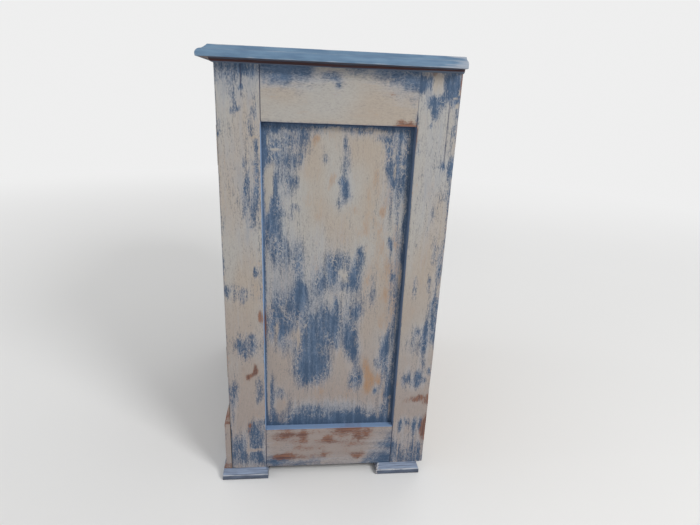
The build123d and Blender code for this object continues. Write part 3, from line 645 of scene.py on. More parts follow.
# Marks of the right-hand side, read across from the front edge and up from the floor:
# (across, height, half width, half height, amount, lean).
rightMarks = {
    "frameRubbed": [
        (26, 594, 26, 5, 0.85), (13, 582, 13, 7, 0.4), (39, 587, 13, 2.5, 0.35),
        (30.5, 570.5, 1.5, 1.5, 0.8), (20, 560, 1.5, 6, 0.45), (23, 549, 1.5, 7, 0.45),
        (27, 546, 3, 1.5, 0.6), (18.5, 544, 1.25, 1.5, 0.6), (44.5, 560, 3.5, 10, 0.25),
        (42, 527, 4.5, 9, 0.45), (43, 543, 1.5, 4.5, 0.4), (47, 543, 1, 7, 0.5), (3.5, 528, 1, 6, 0.4),
        (3, 517.5, 1, 2, 0.4), (46.5, 505, 1.25, 8, 0.65), (46.5, 475, 1.5, 14, 0.7),
        (43, 481, 1.5, 5, 0.3), (46, 447, 1.5, 12, 0.6), (43.5, 430, 2, 10, 0.4), (42.5, 410, 1.5, 9, 0.45),
        (32, 479, 1, 5.5, 0.6), (31.5, 446, 1.25, 11, 0.6, 0.13), (36, 460, 1.5, 6, 0.35),
        (30.5, 418, 1.5, 10, 0.4), (38, 421, 2, 8, 0.3), (37.5, 404, 2.5, 5.5, 0.35),
        (4, 401, 1.5, 11, 0.4), (1, 346, 2, 14, 0.4), (43.5, 337.5, 1.5, 3.5, 0.9), (22, 305, 21, 11, 0.4),
        (26, 305, 4.5, 8, 0.3), (4.5, 308, 2.5, 6, 0.4), (28, 224, 21, 20, 0.45),
        (18.5, 228, 1.5, 11, 0.55), (26, 225, 5, 9, 0.4), (37.5, 224, 3, 5.5, 0.5), (35, 240, 5, 2.5, 0.45),
        (8, 151, 6, 20, 0.6), (5.5, 116, 2, 20, 0.6), (45.5, 153, 4, 20, 0.6), (42, 135, 2, 5, 0.4),
        (40, 72, 12, 26, 0.8), (48, 97.5, 4, 3.5, 0.5), (12, 45, 15, 27, 0.7), (40, 30, 13, 14, 0.7),
        (0.5, 83, 2, 11, 0.4), (77, 592, 25, 9, 0.9), (86, 598, 28, 5.5, 0.8), (80, 580, 6, 5, 0.45),
        (110, 594, 9, 8, 0.55), (139, 587, 12, 4, 0.8), (147.5, 577, 2.5, 2.5, 0.65),
        (166, 594.5, 12, 2, 0.55), (220, 595, 43, 8, 0.85), (245, 584, 18, 6, 0.85),
        (209, 585, 17, 3.5, 0.35), (240, 563, 4.5, 4, 0.3), (247, 543, 1, 7, 0.5), (288, 586, 12, 16, 0.9),
        (266, 563, 9, 7, 0.8), (269, 551, 5, 6, 0.7), (276, 565, 5, 4.5, 0.6), (284, 568.5, 3, 2.5, 0.5),
        (294, 564, 6, 8, 0.9), (296.5, 548, 1.5, 6, 0.5), (296, 529, 2.5, 7, 0.6),
        (296.5, 482, 3.5, 13, 0.95), (285.5, 483, 3, 6, 0.6), (265, 534.5, 1.25, 2, 0.7),
        (251.5, 511, 1.5, 3, 0.5), (251.5, 500.5, 1.25, 2.5, 0.5), (294, 512, 2, 9, 0.35),
        (295, 444, 3.5, 12, 0.35), (278, 421, 2, 11, 0.35), (286, 369, 2.5, 19, 0.5),
        (296, 346, 2.5, 28, 0.55), (273.5, 395, 2, 10, 0.3), (283, 321, 2, 14, 0.5),
        (263.5, 315, 2.5, 14, 0.5), (273, 247, 2, 5, 0.6), (291, 285, 7, 20, 0.4), (291.5, 286, 2, 10, 0.6),
        (297, 288, 1.5, 11, 0.6), (295, 249, 3.5, 26, 0.85), (285, 238, 3, 27, 0.8), (281, 229, 6, 19, 0.5),
        (268, 229, 3.5, 22, 0.45), (259.5, 229, 2, 12, 0.3), (285, 194, 2.5, 10, 0.45),
        (259, 165, 3, 10, 0.65), (266.5, 172, 2, 9, 0.7), (280, 167, 5, 16, 0.9),
        (289.5, 163.5, 2, 3.5, 0.6), (295.5, 181, 2, 8, 0.75), (271.5, 158.5, 2.5, 3.5, 0.6),
        (259, 86, 1.5, 10, 0.9), (280.5, 83, 2.5, 13, 0.95), (290, 86, 1.5, 11, 0.8),
        (265, 88, 0.75, 8, 0.5), (268.5, 87, 0.75, 9, 0.55), (272, 88, 0.75, 8, 0.5),
        (274, 34, 26, 12, 0.35), (274, 18, 26, 6, 0.4), (284, 20, 17, 8, 0.4), (281.5, 34, 2.5, 22, 0.45),
        (291, 36, 2.5, 23, 0.4), (68, 23, 18, 8, 0.85), (103, 19, 19, 4, 0.55), (129, 23, 9, 6, 0.5),
        (86, 48, 11, 12, 0.2), (233, 24, 21, 13, 0.8), (245, 52, 7, 17, 0.85), (238, 51, 14, 5.5, 0.6),
        (210, 20, 9, 6, 0.5), (238, 74, 13, 3.5, 0.3), (256.5, 38, 1, 22, 0.6), (261, 34, 0.75, 20, 0.5),
        (265.5, 38, 1, 22, 0.6), (270, 34, 0.75, 20, 0.5), (274, 38, 1, 22, 0.55),
        (278.5, 34, 0.75, 22, 0.55), (282.5, 40, 1, 26, 0.55), (287, 34, 0.75, 22, 0.5),
        (291.5, 32, 1, 20, 0.5), (48.5, 470, 1, 58, 0.55), (44.5, 438, 0.75, 36, 0.45),
        (36.5, 452, 0.75, 24, 0.5), (33, 432, 0.75, 28, 0.5), (40, 425, 0.75, 22, 0.45),
        (49, 300, 0.75, 70, 0.35), (297, 420, 1, 60, 0.4), (292.5, 330, 0.75, 60, 0.45),
    ],
    "frameCream": [
        (35, 46, 11, 2, 0.9), (26, 50, 1.25, 20, 0.8), (270, 584, 5, 14, 1), (255, 595, 8, 3.5, 0.35),
        (299, 573, 2, 2.5, 1), (297, 560.5, 2, 2, 1), (293, 567.5, 3, 1, 0.8), (39, 594, 1.25, 7, 0.3),
        (45.5, 514, 3, 1, 0.6), (258.5, 40, 0.75, 22, 0.5), (263.5, 38, 0.75, 22, 0.5),
        (268, 38, 0.75, 22, 0.45), (272, 36, 0.75, 20, 0.45), (276.5, 38, 0.75, 22, 0.5),
        (280.5, 36, 0.75, 20, 0.4), (285, 38, 0.75, 22, 0.5), (289.5, 34, 0.75, 20, 0.45),
    ],
    "frameBare": [
        (47.5, 272, 2.5, 7, 0.9), (21, 189, 4, 2.5, 0.45), (39.5, 186, 2, 6, 0.9),
        (36.5, 180, 4, 3.5, 0.8, 0.72), (28.5, 175, 3, 3.5, 0.8), (29, 91.5, 2, 2.5, 0.9),
        (28, 81.5, 1.25, 1.5, 0.7), (233, 535, 13, 4, 1.1), (248.5, 528, 1.5, 23, 0.5),
        (263, 596.5, 5, 1.5, 0.7), (301.5, 586, 2.5, 16, 1), (282, 131, 21, 5.5, 0.6),
        (285, 131, 8, 5, 0.6), (300, 132, 3.5, 8, 0.6), (297, 78, 4, 22, 1), (20.5, 359.5, 1.5, 1.5, 0.3),
        (79, 70.5, 20, 3.5, 0.85), (85, 81, 8, 2, 0.4), (109, 72, 6, 9, 0.85), (147, 64, 6, 2.5, 0.7),
        (183, 79, 28, 2, 0.95), (171, 71, 15, 4, 0.35), (194, 69, 6, 6, 0.8), (208, 73.5, 9, 3, 0.8),
        (78, 32.5, 19, 2.5, 0.95), (88, 35, 7, 4, 0.6), (141, 35, 3, 5.5, 0.4), (195, 31, 10, 4.5, 0.6),
        (101, 54, 8, 4.5, 0.35), (129, 59, 9, 3, 0.3), (215, 570.5, 13, 1, 0.35), (100, 76, 30, 2, 0.45),
        (158, 74, 34, 2, 0.35), (216, 66, 20, 4, 0.25), (92, 62, 24, 2, 0.3), (112, 31, 30, 2, 0.4),
        (180, 36, 44, 3, 0.25), (150, 50, 88, 26, 0.3), (160, 58, 24, 1.5, 0.6), (120, 48, 20, 1.5, 0.5),
        (190, 52, 22, 1.5, 0.5),
    ],
    "frameCracks": [
        (30.5, 582, 0.6, 17, 1, 0.01), (30.5, 562, 0.5, 5, 0.8, -0.02), (287, 547, 0.6, 23, 1),
        (287, 502, 1, 24, 0.9),
    ],
    "panelRubbed": [
        (56, 500, 5.5, 30, 1), (52, 440, 3, 39, 1.1), (82, 528, 31, 4, 1.1), (84, 502, 29, 24, 0.45),
        (70, 504, 6, 5.5, 0.6), (69, 490, 8, 7, 0.6), (89, 509, 8, 7, 0.5), (106, 517, 6, 10, 0.5),
        (61, 515, 3.5, 4, 0.4), (86.5, 485, 3.5, 4, 0.5), (95, 485, 3, 8, 0.4), (102.5, 489, 2, 5, 0.6),
        (69, 479.5, 5.5, 3, 0.3), (69.5, 455, 2, 16, 0.9), (68, 428, 8, 13, 0.85), (63, 401, 14, 26, 0.95),
        (74, 462, 3, 10, 0.3), (88, 462, 12, 19, 0.4), (89, 457, 3.5, 6, 0.55), (98.5, 459, 2, 4, 0.4),
        (96, 424, 4.5, 3.5, 0.5), (79.5, 419, 4, 4.5, 0.45), (91.5, 411, 2.5, 7, 0.35),
        (73, 366, 13, 19, 0.6), (70, 362, 8, 8, 0.3), (85, 364, 6, 16, 0.4), (78, 341, 11, 7, 0.3),
        (134.5, 489, 2.5, 4, 0.5), (123, 524, 7, 5, 0.45), (134, 531, 8, 2, 0.5), (100, 349, 7, 27, 0.75),
        (102, 306, 4.5, 14, 0.95), (104, 284, 9, 26, 0.8), (103, 306, 11, 11, 0.4), (130, 318, 8, 22, 0.7),
        (146, 333, 9, 25, 0.9), (178, 328, 10, 19, 0.95), (184, 356, 7, 13, 0.8), (161, 350, 9, 10, 0.6),
        (164, 313, 8, 9, 0.55), (187, 290, 22, 23, 0.35), (184, 272, 7, 12, 0.7), (203, 332, 8, 17, 0.25),
        (206.5, 300, 3.5, 17, 0.4), (152.5, 290, 2, 13, 0.75), (138, 255, 8, 29, 0.85),
        (154, 252, 7, 30, 0.95), (146, 254, 13, 26, 0.6), (177, 232, 12, 20, 0.85), (177, 230, 9, 18, 0.6),
        (75, 246, 17, 18, 0.85), (82, 256, 19, 30, 0.7), (67, 262, 9, 24, 0.7), (82, 217, 16, 12, 0.35),
        (108, 229, 6, 19, 0.75), (129, 231, 19, 14, 0.45), (133, 226, 10, 2, 0.8), (120, 188, 24, 32, 1),
        (121, 190, 23, 31, 0.95), (154, 222, 5.5, 7, 0.5), (181, 206, 9, 12, 0.7), (185, 186, 4, 10, 0.55),
        (187, 161, 10, 15, 0.75), (192.5, 164, 3.5, 7, 0.5), (181.5, 153, 3.5, 8, 0.5),
        (224, 204, 4.5, 28, 0.8, 0.05), (232, 200, 2, 34, 0.6, -0.04), (216, 190, 2, 7, 0.7),
        (218, 142, 2, 3.5, 0.9), (226, 376, 3, 8, 0.8), (227, 351, 2, 19, 0.3), (232, 328, 1.5, 5.5, 0.6),
        (231, 232, 2, 22, 0.6, 0.12), (242, 270, 1.25, 45, 0.75, -0.02), (242.5, 171, 1.5, 41, 0.75),
        (239, 139, 4.5, 10, 0.8), (238, 109, 4, 18, 0.55), (247, 434, 2.5, 31, 1.1),
        (247.5, 382, 2.5, 32, 1.1), (248, 326, 2, 34, 1.1), (248, 261, 2, 41, 1.1),
        (247.5, 191, 2.5, 40, 1.1), (247, 121, 4.5, 43, 1.1), (249, 517, 3.5, 14, 0.8),
        (248.5, 483, 3.5, 26, 0.95), (174, 530.5, 10, 2.5, 0.85), (169, 524.5, 4, 3.5, 0.5),
        (177.5, 523, 1.5, 2, 0.9), (188, 524, 6, 1.5, 0.55), (204, 516, 7, 2.5, 0.5),
        (213, 513.5, 3, 1.5, 0.9), (225, 530, 26, 4, 1.1), (233, 519, 19, 9, 0.6),
        (230.5, 518, 2.5, 6, 0.7), (214, 503, 2.5, 9, 0.7), (219, 505, 2.5, 6, 0.5), (227, 486, 3, 20, 0.8),
        (216, 485, 7, 7, 0.35), (222, 469, 3, 16, 0.6), (225, 460, 2.5, 8, 0.7), (242, 485, 2, 18, 0.9),
        (236.5, 485.5, 2.5, 3.5, 0.8), (237, 482, 7, 21, 0.4), (237, 451, 4, 9, 0.45),
        (159, 509, 2, 10, 0.55), (162, 483, 5.5, 18, 0.55), (159, 456, 5.5, 8, 1.1),
        (161, 444.5, 7, 3, 0.6), (160, 436, 8, 5, 0.4), (153, 429, 4, 4, 0.4), (157, 526, 5, 1.5, 0.5),
        (62.5, 132, 2.5, 32, 0.85), (75, 137, 6, 12, 0.65), (51, 131, 3.5, 46, 1), (72, 97, 23, 14, 0.85),
        (86.5, 118, 4, 10, 0.5), (122, 99, 34, 17, 0.7), (122, 114, 12, 5.5, 0.4), (185, 92, 31, 12, 0.9),
        (193, 105, 9, 5.5, 0.4), (233, 93, 21, 15, 0.7), (234, 110, 6, 6, 0.5), (51.5, 212, 1.5, 34, 0.5),
        (228, 470, 1.5, 46, 0.6), (233, 430, 1.25, 60, 0.6), (238, 478, 1.5, 42, 0.7),
        (241, 380, 1.5, 60, 0.6), (236, 330, 1.25, 50, 0.55), (230, 300, 1.25, 40, 0.45),
        (239, 250, 1.5, 60, 0.6), (233, 200, 1.25, 40, 0.5), (240, 150, 1.25, 50, 0.7),
        (235, 150, 1, 30, 0.6, 0.06), (229, 190, 1.25, 26, 0.6, 0.1), (226, 150, 1.25, 20, 0.55, 0.08),
        (222, 440, 1.25, 30, 0.5), (216, 484, 2.5, 22, 0.55), (118, 226, 14, 30, 0.6),
        (120, 250, 12, 22, 0.7), (98, 292, 22, 16, 0.5), (72, 276, 9, 30, 0.5), (172, 262, 8, 26, 0.55),
    ],
    "panelCream": [
        (61, 455, 5.5, 20, 0.8), (58.5, 428, 3, 11, 0.9), (69, 498, 6, 1, 0.95), (60.5, 510, 1, 7, 0.9),
        (67.5, 479, 3, 6, 0.5), (158.5, 333.5, 3.5, 3.5, 0.4), (164, 327, 4, 2.5, 0.4),
        (167, 320, 8, 2.5, 0.4), (225.5, 473, 1.5, 11, 0.9), (235, 481.5, 4.5, 2, 0.6),
        (69.5, 244, 3.5, 19, 0.9, 0.15), (100.5, 229, 1, 19, 0.85), (91, 238, 7, 9, 0.35),
        (57.5, 139, 1.5, 38, 0.7), (77, 108, 12, 22, 0.55), (79, 88.5, 10, 3.5, 0.5),
        (242.5, 110, 1.5, 16, 0.95), (241.5, 128, 4, 2.5, 0.8), (243.5, 434, 0.75, 17, 0.5),
        (243.5, 381, 0.75, 22, 0.5), (243, 322, 1, 30, 0.6), (242.5, 260, 1, 32, 0.6),
        (244, 172, 1, 39, 0.5), (225, 91, 2.5, 7, 0.5), (78, 279, 8, 5.5, 0.3), (182, 353, 1.5, 7, 0.4),
    ],
    "panelBare": [
        (52.5, 252, 1.5, 27, 1),
    ],
    "panelStain": [
        (206, 390, 26, 110, 0.2), (121.5, 513.5, 4, 2, 0.5), (118.5, 508, 2, 5.5, 0.4),
        (142.5, 458, 3, 9, 0.5, 0.15), (128, 412, 7, 5.5, 0.4), (202, 461, 4, 16, 0.4),
        (211.5, 420, 3.5, 4, 0.6), (172, 420, 4, 4, 0.3), (202, 184, 4, 20, 0.85, -0.12),
        (207, 158, 5, 20, 1), (222, 158, 5.5, 9, 0.5), (197, 409, 12, 28, 0.2), (230, 319, 15, 82, 0.4),
        (167, 391, 11, 24, 0.15), (172, 137, 23, 15, 0.25), (124, 134, 26, 14, 0.15),
        (200, 526, 17, 7, 0.3), (138, 525, 20, 7, 0.25), (234, 137, 11, 13, 0.3),
    ],
    "panelBand": (2.2, 4.2, 12.0, 3.6),
}


aboveAll = 999.0


def pairs(*rows):
    # (side, side) or (side, side, lowest height, highest height)
    return [row if len(row) == 4 else (*row, -aboveAll, aboveAll) for row in rows]


hinge = {
    "leaf": 1.2, "axisX": 209.2, "axisY": -137.65, "inset": 60.0, "pitch": 17.0,
    "seatHalf": 25.2, "seatDepth": 17.2, "seatLip": 0.5, "barrelRoom": 3.0, "barrelHalf": 26.2,
}
doorSizes = {
    "near": 1.0, "far": 208.4, "bottom": 128.5, "top": 560.5, "stock": 19.0, "stile": 42.0, "topRail": 48.0,
    "bottomRail": 56.0, "recess": 9.0, "panel": 6.0, "tongue": 7.4, "ease": 1.2, "railEase": 0.9,
    "stileStep": (2.6, 3.0, 3.0), "railStep": (3.0, 3.0, 2.6), "panelStep": (2.4, 3.0, 2.8),
    "panelRipple": 0.3,
}
hingeLevels = [doorSizes["bottom"] + hinge["inset"], doorSizes["top"] - hinge["inset"]]   # their middles


# Where the hinge leaves are let into an upright face, down to `bed`, and the hollows round their barrels.
def hingeSeats(sign, face, bed):
    front = cabinet["front"]
    low, high = sorted((face + math.copysign(hinge["seatLip"], face - bed), bed))
    seats = [((low, front - 1, level - hinge["seatHalf"]),
              (high, front + hinge["seatDepth"], level + hinge["seatHalf"]), 0, bed) for level in hingeLevels]
    barrels = [((sign * hinge["axisX"], hinge["axisY"]), hinge["barrelRoom"], level - hinge["barrelHalf"],
                level + hinge["barrelHalf"]) for level in hingeLevels]
    return seats, barrels


# The left side's larger worn places, which come on top of a loose scatter.
leftMarks = {
    "stain": [(120, 330, 9, 40, 0.5), (214, 470, 5, 26, 0.6), (90, 180, 6, 22, 0.5)],
    "frameHaze": [(60, 590, 60, 14, 0.7), (250, 590, 40, 18, 0.6), (26, 300, 18, 200, 0.3),
                  (150, 20, 130, 8, 0.5)],
    "panelHaze": [(90, 430, 26, 60, 0.5), (170, 300, 40, 70, 0.5), (110, 180, 34, 40, 0.6),
                  (230, 360, 16, 120, 0.4)],
    "panelRubbed": [(96, 150, 20, 34, 1.1), (150, 250, 9, 42, 0.9), (120, 470, 13, 18, 0.8),
                    (60, 340, 10, 60, 0.8), (120, 90, 80, 9, 1.1), (56, 300, 4, 230, 1.0),
                    (244, 300, 3.5, 230, 0.95), (150, 528, 100, 4, 1.1)],
    "panelCream": [(90, 300, 14, 30, 0.5)],
    "panelWidth": 190.0, "panelBand": (6.0, 5.0, 13.0, 5.0),
}


sideBoards = {
    "stileWidth": 53.0, "topRail": 70.0, "bottomRail": 69.0, "recess": 10.5, "panel": 6.0, "tongue": 7.4,
    "cornerEase": 1.9, "railEase": 1.0, "rebate": (10.0, 7.0), "rightJoint": 16.0,
    "stileStep": (3.0, 2.2, 2.6), "railStep": (3.0, 2.6, 2.2), "panelStep": (3.0, 2.0, 2.4),
    "panelRipple": 0.3,
}


def sideFrame(side):
    right = side == "right"
    sign, seed = (1, 1) if right else (-1, 41)
    outerX, innerX = sign * cabinet["sideFace"], sign * cabinet["innerFace"]
    x0, x1 = sorted((outerX, innerX))
    outside, inward = ("x+", "x-") if right else ("x-", "x+")
    front, back, base, top = cabinet["front"], cabinet["back"], cabinet["base"], cabinet["carcassTop"]
    width, depth = sideBoards["stileWidth"], cabinet["depth"]
    low, high = base + sideBoards["bottomRail"], top - sideBoards["topRail"]
    opening = (width, depth - width, low, high)

    def across(points):
        return points[:, 1] - front

    if right:
        given = rightMarks
        frameMarks = marksFrom(across, 1, given["frameRubbed"], given["frameCream"], given["frameBare"],
                               cracks=given["frameCracks"], haze=rightHaze["frame"])
        fieldMarks = marksFrom(across, 2, given["panelRubbed"], given["panelCream"], given["panelBare"],
                               given["panelStain"], haze=rightHaze["panel"], opening=opening,
                               band=given["panelBand"])
    else:
        given = leftMarks
        rows, chips = looseDabs(depth, base, top, 5, 110)
        frameMarks = marksFrom(across, 3, rows, bare=chips, stain=given["stain"], haze=given["frameHaze"])
        rows, chips = looseDabs(given["panelWidth"], low, high, 6, 46, 1.1)
        fieldMarks = marksFrom(across, 4, rows + given["panelRubbed"], given["panelCream"], chips[:3],
                               given["stain"], haze=given["panelHaze"], opening=opening,
                               band=given["panelBand"])

    def member(title, stands, lowest, highest, material, marks, **rest):
        board(side + "Side" + title, lowest, highest, material, "cabinet", [side + "_side_" + stands], marks,
              **rest)

    leaves, barrels = hingeSeats(sign, innerX, innerX + sign * hinge["leaf"])
    stileStep, railStep = sideBoards["stileStep"], sideBoards["railStep"]
    # the rebate that holds the back boards
    rebateWide, rebateDeep = sideBoards["rebate"]
    rebateX = sorted((innerX - sign * hinge["seatLip"], innerX + sign * rebateWide))
    rebateY = back - rebateDeep
    rebate = ((rebateX[0], rebateY, base - 1), (rebateX[1], back + 1, top + 1), 1, rebateY)
    joint = (high, high + sideBoards["rightJoint"] if right else aboveAll)
    member("FrontStile", "front_stile", (x0, front, base), (x1, front + width, top), uprightPaint, frameMarks,
           worn=pairs((outside, "y-"), (outside, "y+", low + 1, high - 1)),
           seams=pairs((outside, "y+", 0, low), (outside, "y+", high, aboveAll)), raw=(inward, "z-", "z+"),
           ledge=("y+",), step=stileStep, seats=leaves, barrels=barrels, wornEase=sideBoards["cornerEase"],
           seed=seed)
    member("BackStile", "back_stile", (x0, back - width, base), (x1, back, top), uprightPaint, frameMarks,
           worn=pairs((outside, "y+"), (outside, "y-", low + 1, high - 1)),
           seams=pairs((outside, "y-", 0, low), (outside, "y-", *joint)), raw=(inward, "z-", "z+"),
           ledge=("y-",), dim=("y-",), step=stileStep, seats=[rebate], wornEase=sideBoards["cornerEase"],
           seed=seed + 10)
    member("TopRail", "top_rail", (x0, front + width, high), (x1, back - width, top), railPaint, frameMarks,
           worn=pairs((outside, "z-")), seams=pairs((outside, "y-"), (outside, "y+", *joint)),
           raw=(inward, "z+"), ledge=("z-",), dim=("z-",), step=railStep, wornEase=sideBoards["railEase"],
           seed=seed + 20)
    member("BottomRail", "bottom_rail", (x0, front + width, base), (x1, back - width, low), railPaint,
           frameMarks, worn=pairs((outside, "z+"), (outside, "z-")),
           seams=pairs((outside, "y-"), (outside, "y+")), raw=(inward,), ledge=("z+",), step=railStep,
           wornEase=sideBoards["railEase"], seed=seed + 30)
    face = outerX - sign * sideBoards["recess"]
    nearX, farX = sorted((face, face - sign * sideBoards["panel"]))
    tongue = sideBoards["tongue"]
    member("Panel", "panel", (nearX, front + width - tongue, low - tongue),
           (farX, back - width + tongue, high + tongue), panelPaint, fieldMarks, raw=(inward,),
           step=sideBoards["panelStep"], ripple=sideBoards["panelRipple"], seed=seed + 40)


def door(side):
    sign, seed = (1, 61) if side == "right" else (-1, 81)
    size, front = doorSizes, cabinet["front"]
    nearX, farX, stile = size["near"], size["far"], size["stile"]
    bottom, top = size["bottom"], size["top"]
    low, high, width = bottom + size["bottomRail"], top - size["topRail"], farX - nearX

    def across(points):
        return np.abs(points[:, 0]) - nearX

    rows, chips = looseDabs(width, bottom, top, seed, 95)
    rows += [(20, 344, 15, 26, 0.7), (width, 200, 6, 40, 0.7)]
    frameMarks = marksFrom(across, seed, rows, bare=chips)
    rows, chips = looseDabs(width, low, high, seed + 1, 44, 1.1)
    rows += [(104, 188, 70, 8, 1.1), (104, 509, 70, 5, 1.1), (44, 350, 4, 170, 1.0), (163, 350, 4, 170, 1.0),
             (90 + sign * 14, 260, 16, 34, 1.05), (112, 410, 11, 40, 0.8), (70, 330, 9, 46, 0.8)]
    stains = [(100 + sign * 20, 350, 6, 30, 0.7), (80, 450, 10, 20, 0.4)]
    haze = [(70, 420, 20, 70, 0.5), (130, 300, 30, 60, 0.5), (100, 230, 30, 36, 0.6)]
    fieldMarks = marksFrom(across, seed + 2, rows, [(96, 300, 12, 24, 0.5)], chips[:3], stains, haze=haze,
                           opening=(stile, width - stile, low, high))
    nearSide, farSide = ("x-", "x+") if sign > 0 else ("x+", "x-")

    def member(title, stands, xSpan, ySpan, zSpan, material, marks, **rest):
        x0, x1 = sorted((sign * xSpan[0], sign * xSpan[1]))
        board(side + "Door" + title, (x0, ySpan[0], zSpan[0]), (x1, ySpan[1], zSpan[1]), material,
              side + "_door", [side + "_door_" + stands], marks, raw=("y+",), **rest)

    thick, tall = (front, front + size["stock"]), (bottom, top)
    ends = (("z+", "y-"), ("z-", "y-"))
    seats, barrels = hingeSeats(sign, sign * farX, sign * (farX - hinge["leaf"]))
    for title, stands, xSpan, edgeSide, panelSide, more in (
            ("MeetingStile", "meeting_stile", (nearX, nearX + stile), nearSide, farSide, {"seed": seed}),
            ("HingeStile", "hinge_stile", (farX - stile, farX), farSide, nearSide,
             {"seats": seats, "barrels": barrels, "seed": seed + 3})):
        member(title, stands, xSpan, thick, tall, uprightPaint, frameMarks,
               worn=pairs((edgeSide, "y-"), (panelSide, "y-", low + 1, high - 1), *ends),
               seams=pairs((panelSide, "y-", 0, low), (panelSide, "y-", high, aboveAll)), ledge=(panelSide,),
               step=size["stileStep"], wornEase=size["ease"], **more)
    between = (nearX + stile, farX - stile)
    rail = {"worn": pairs(*ends), "seams": pairs(("x-", "y-"), ("x+", "y-")), "step": size["railStep"],
            "wornEase": size["railEase"]}
    member("TopRail", "top_rail", between, thick, (high, top), crossPaint, frameMarks, ledge=("z-",),
           dim=("z-",), seed=seed + 6, **rail)
    member("BottomRail", "bottom_rail", between, thick, (bottom, low), crossPaint, frameMarks, ledge=("z+",),
           seed=seed + 9, **rail)
    tongue, face = size["tongue"], front + size["recess"]
    member("Panel", "panel", (between[0] - tongue, between[1] + tongue), (face, face + size["panel"]),
           (low - tongue, high + tongue), panelPaint, fieldMarks, step=size["panelStep"],
           ripple=size["panelRipple"], seed=seed + 12)


def arc(first, middle, last, count):
    # points on the circle through three points
    (ax, ay), (bx, by), (cx, cy) = first, middle, last
    k = 2 * (ax * (by - cy) + bx * (cy - ay) + cx * (ay - by))
    a2, b2, c2 = ax * ax + ay * ay, bx * bx + by * by, cx * cx + cy * cy
    ux = (a2 * (by - cy) + b2 * (cy - ay) + c2 * (ay - by)) / k
    uy = (a2 * (cx - bx) + b2 * (ax - cx) + c2 * (bx - ax)) / k
    radius = math.hypot(ax - ux, ay - uy)
    start, end = (math.atan2(y - uy, x - ux) for x, y in (first, last))
    sweep = (end - start + math.pi) % (2 * math.pi) - math.pi
    turns = [start + sweep * i / count for i in range(count + 1)]
    return [(ux + radius * math.cos(turn), uy + radius * math.sin(turn)) for turn in turns]


# A slab whose edge follows a moulding.
# Each level is (height, insets of x-, x+, y-, y+, how proud its ridge is).
def moulded(name, low, high, levels, material, stands, step, wear, raw=(), ragged=0.35, seed=1, ledge=None):
    low, high = np.array(low, float), np.array(high, float)
    levels = np.array(levels, float)
    points, quads = boxSkin([cuts(low[0], high[0], step[0]), cuts(low[1], high[1], step[1]),
                             np.arange(len(levels), dtype=float)])
    level = points[:, 2].astype(int)
    gap = distances(points, low, (*high[:2], len(levels) - 1))
    height, insets, ridge = levels[level, 0], levels[level, 1:5], levels[level, 5]
    flat = np.stack([points[:, 0], points[:, 1], height], 1)
    rag = ragged * (0.5 + 0.5 * swell(flat, (14, 14, 60), seed)) * ridge
    rag = rag + ragged * 1.6 * swoop(swell(flat, (7, 7, 60), seed + 1), 0.5, 0.95) * ridge
    wornBack = 0.0 if levels[:, 4].max() < 0.3 else 1.0   # a back edge that runs flush keeps its line
    insets = insets + rag[:, None] * np.array([1.0, 1.0, 1.0, wornBack])
    for axis in (0, 1):
        share = (points[:, axis] - low[axis]) / (high[axis] - low[axis])
        near, far = low[axis] + insets[:, axis * 2], high[axis] - insets[:, axis * 2 + 1]
        points[:, axis] = near + share * (far - near)
    points[:, 2] = height
    skin = np.min([gap[key] for key in ("x-", "x+", "y-", "y+")], 0)
    corner = np.minimum(np.hypot(gap["x+"], gap["y-"]), np.hypot(gap["x-"], gap["y-"]))
    onSide = skin < 0.01
    proud = np.where(onSide, ridge, np.where(skin < 2.6, ridge * (1 - skin / 2.6), 0))
    marks = {
        "arris": np.maximum(proud, np.where(onSide, 0.7 * (1 - swoop(corner, 0.5, 5.0)), 0)),
        "raw": onFaces(gap, raw, 0.01),
        "ledge": ledge(points) if ledge else np.zeros(len(points)),
        "seam": np.zeros(len(points)),
        "low": shadeTowardsFloor(points),
        **wear(points),
    }
    return piece(name, points, quads.tolist(), marks, material, "cabinet", stands, 50)


# The top's edge goes up through a cove, a fillet and a round. A row is (inset, height, how proud its ridge
# is), and each curve is three points on it and a count of steps.
topSizes = {
    "frontOverhang": 17.5, "sideOverhang": 17.0, "thickness": 14.0, "step": 3.4, "endGrain": 234.4,
    "lower": ((0.55, 0.0, 0.2), (0.15, 0.2, 0.6), (0.0, 0.7, 0.9), (0.0, 1.3, 0.6), (0.0, 2.4, 0.15)),
    "cove": ((0, 3.5), (1.9, 7.15), (5.6, 9.0), 8), "fillet": (6.15, 8.95, 0.2),
    "round": ((6.2, 9.0), (9.5, 11.1), (12.0, 13.7), 6), "upper": ((12.35, 13.93, 0.9), (12.9, 14.0, 0.6)),
}


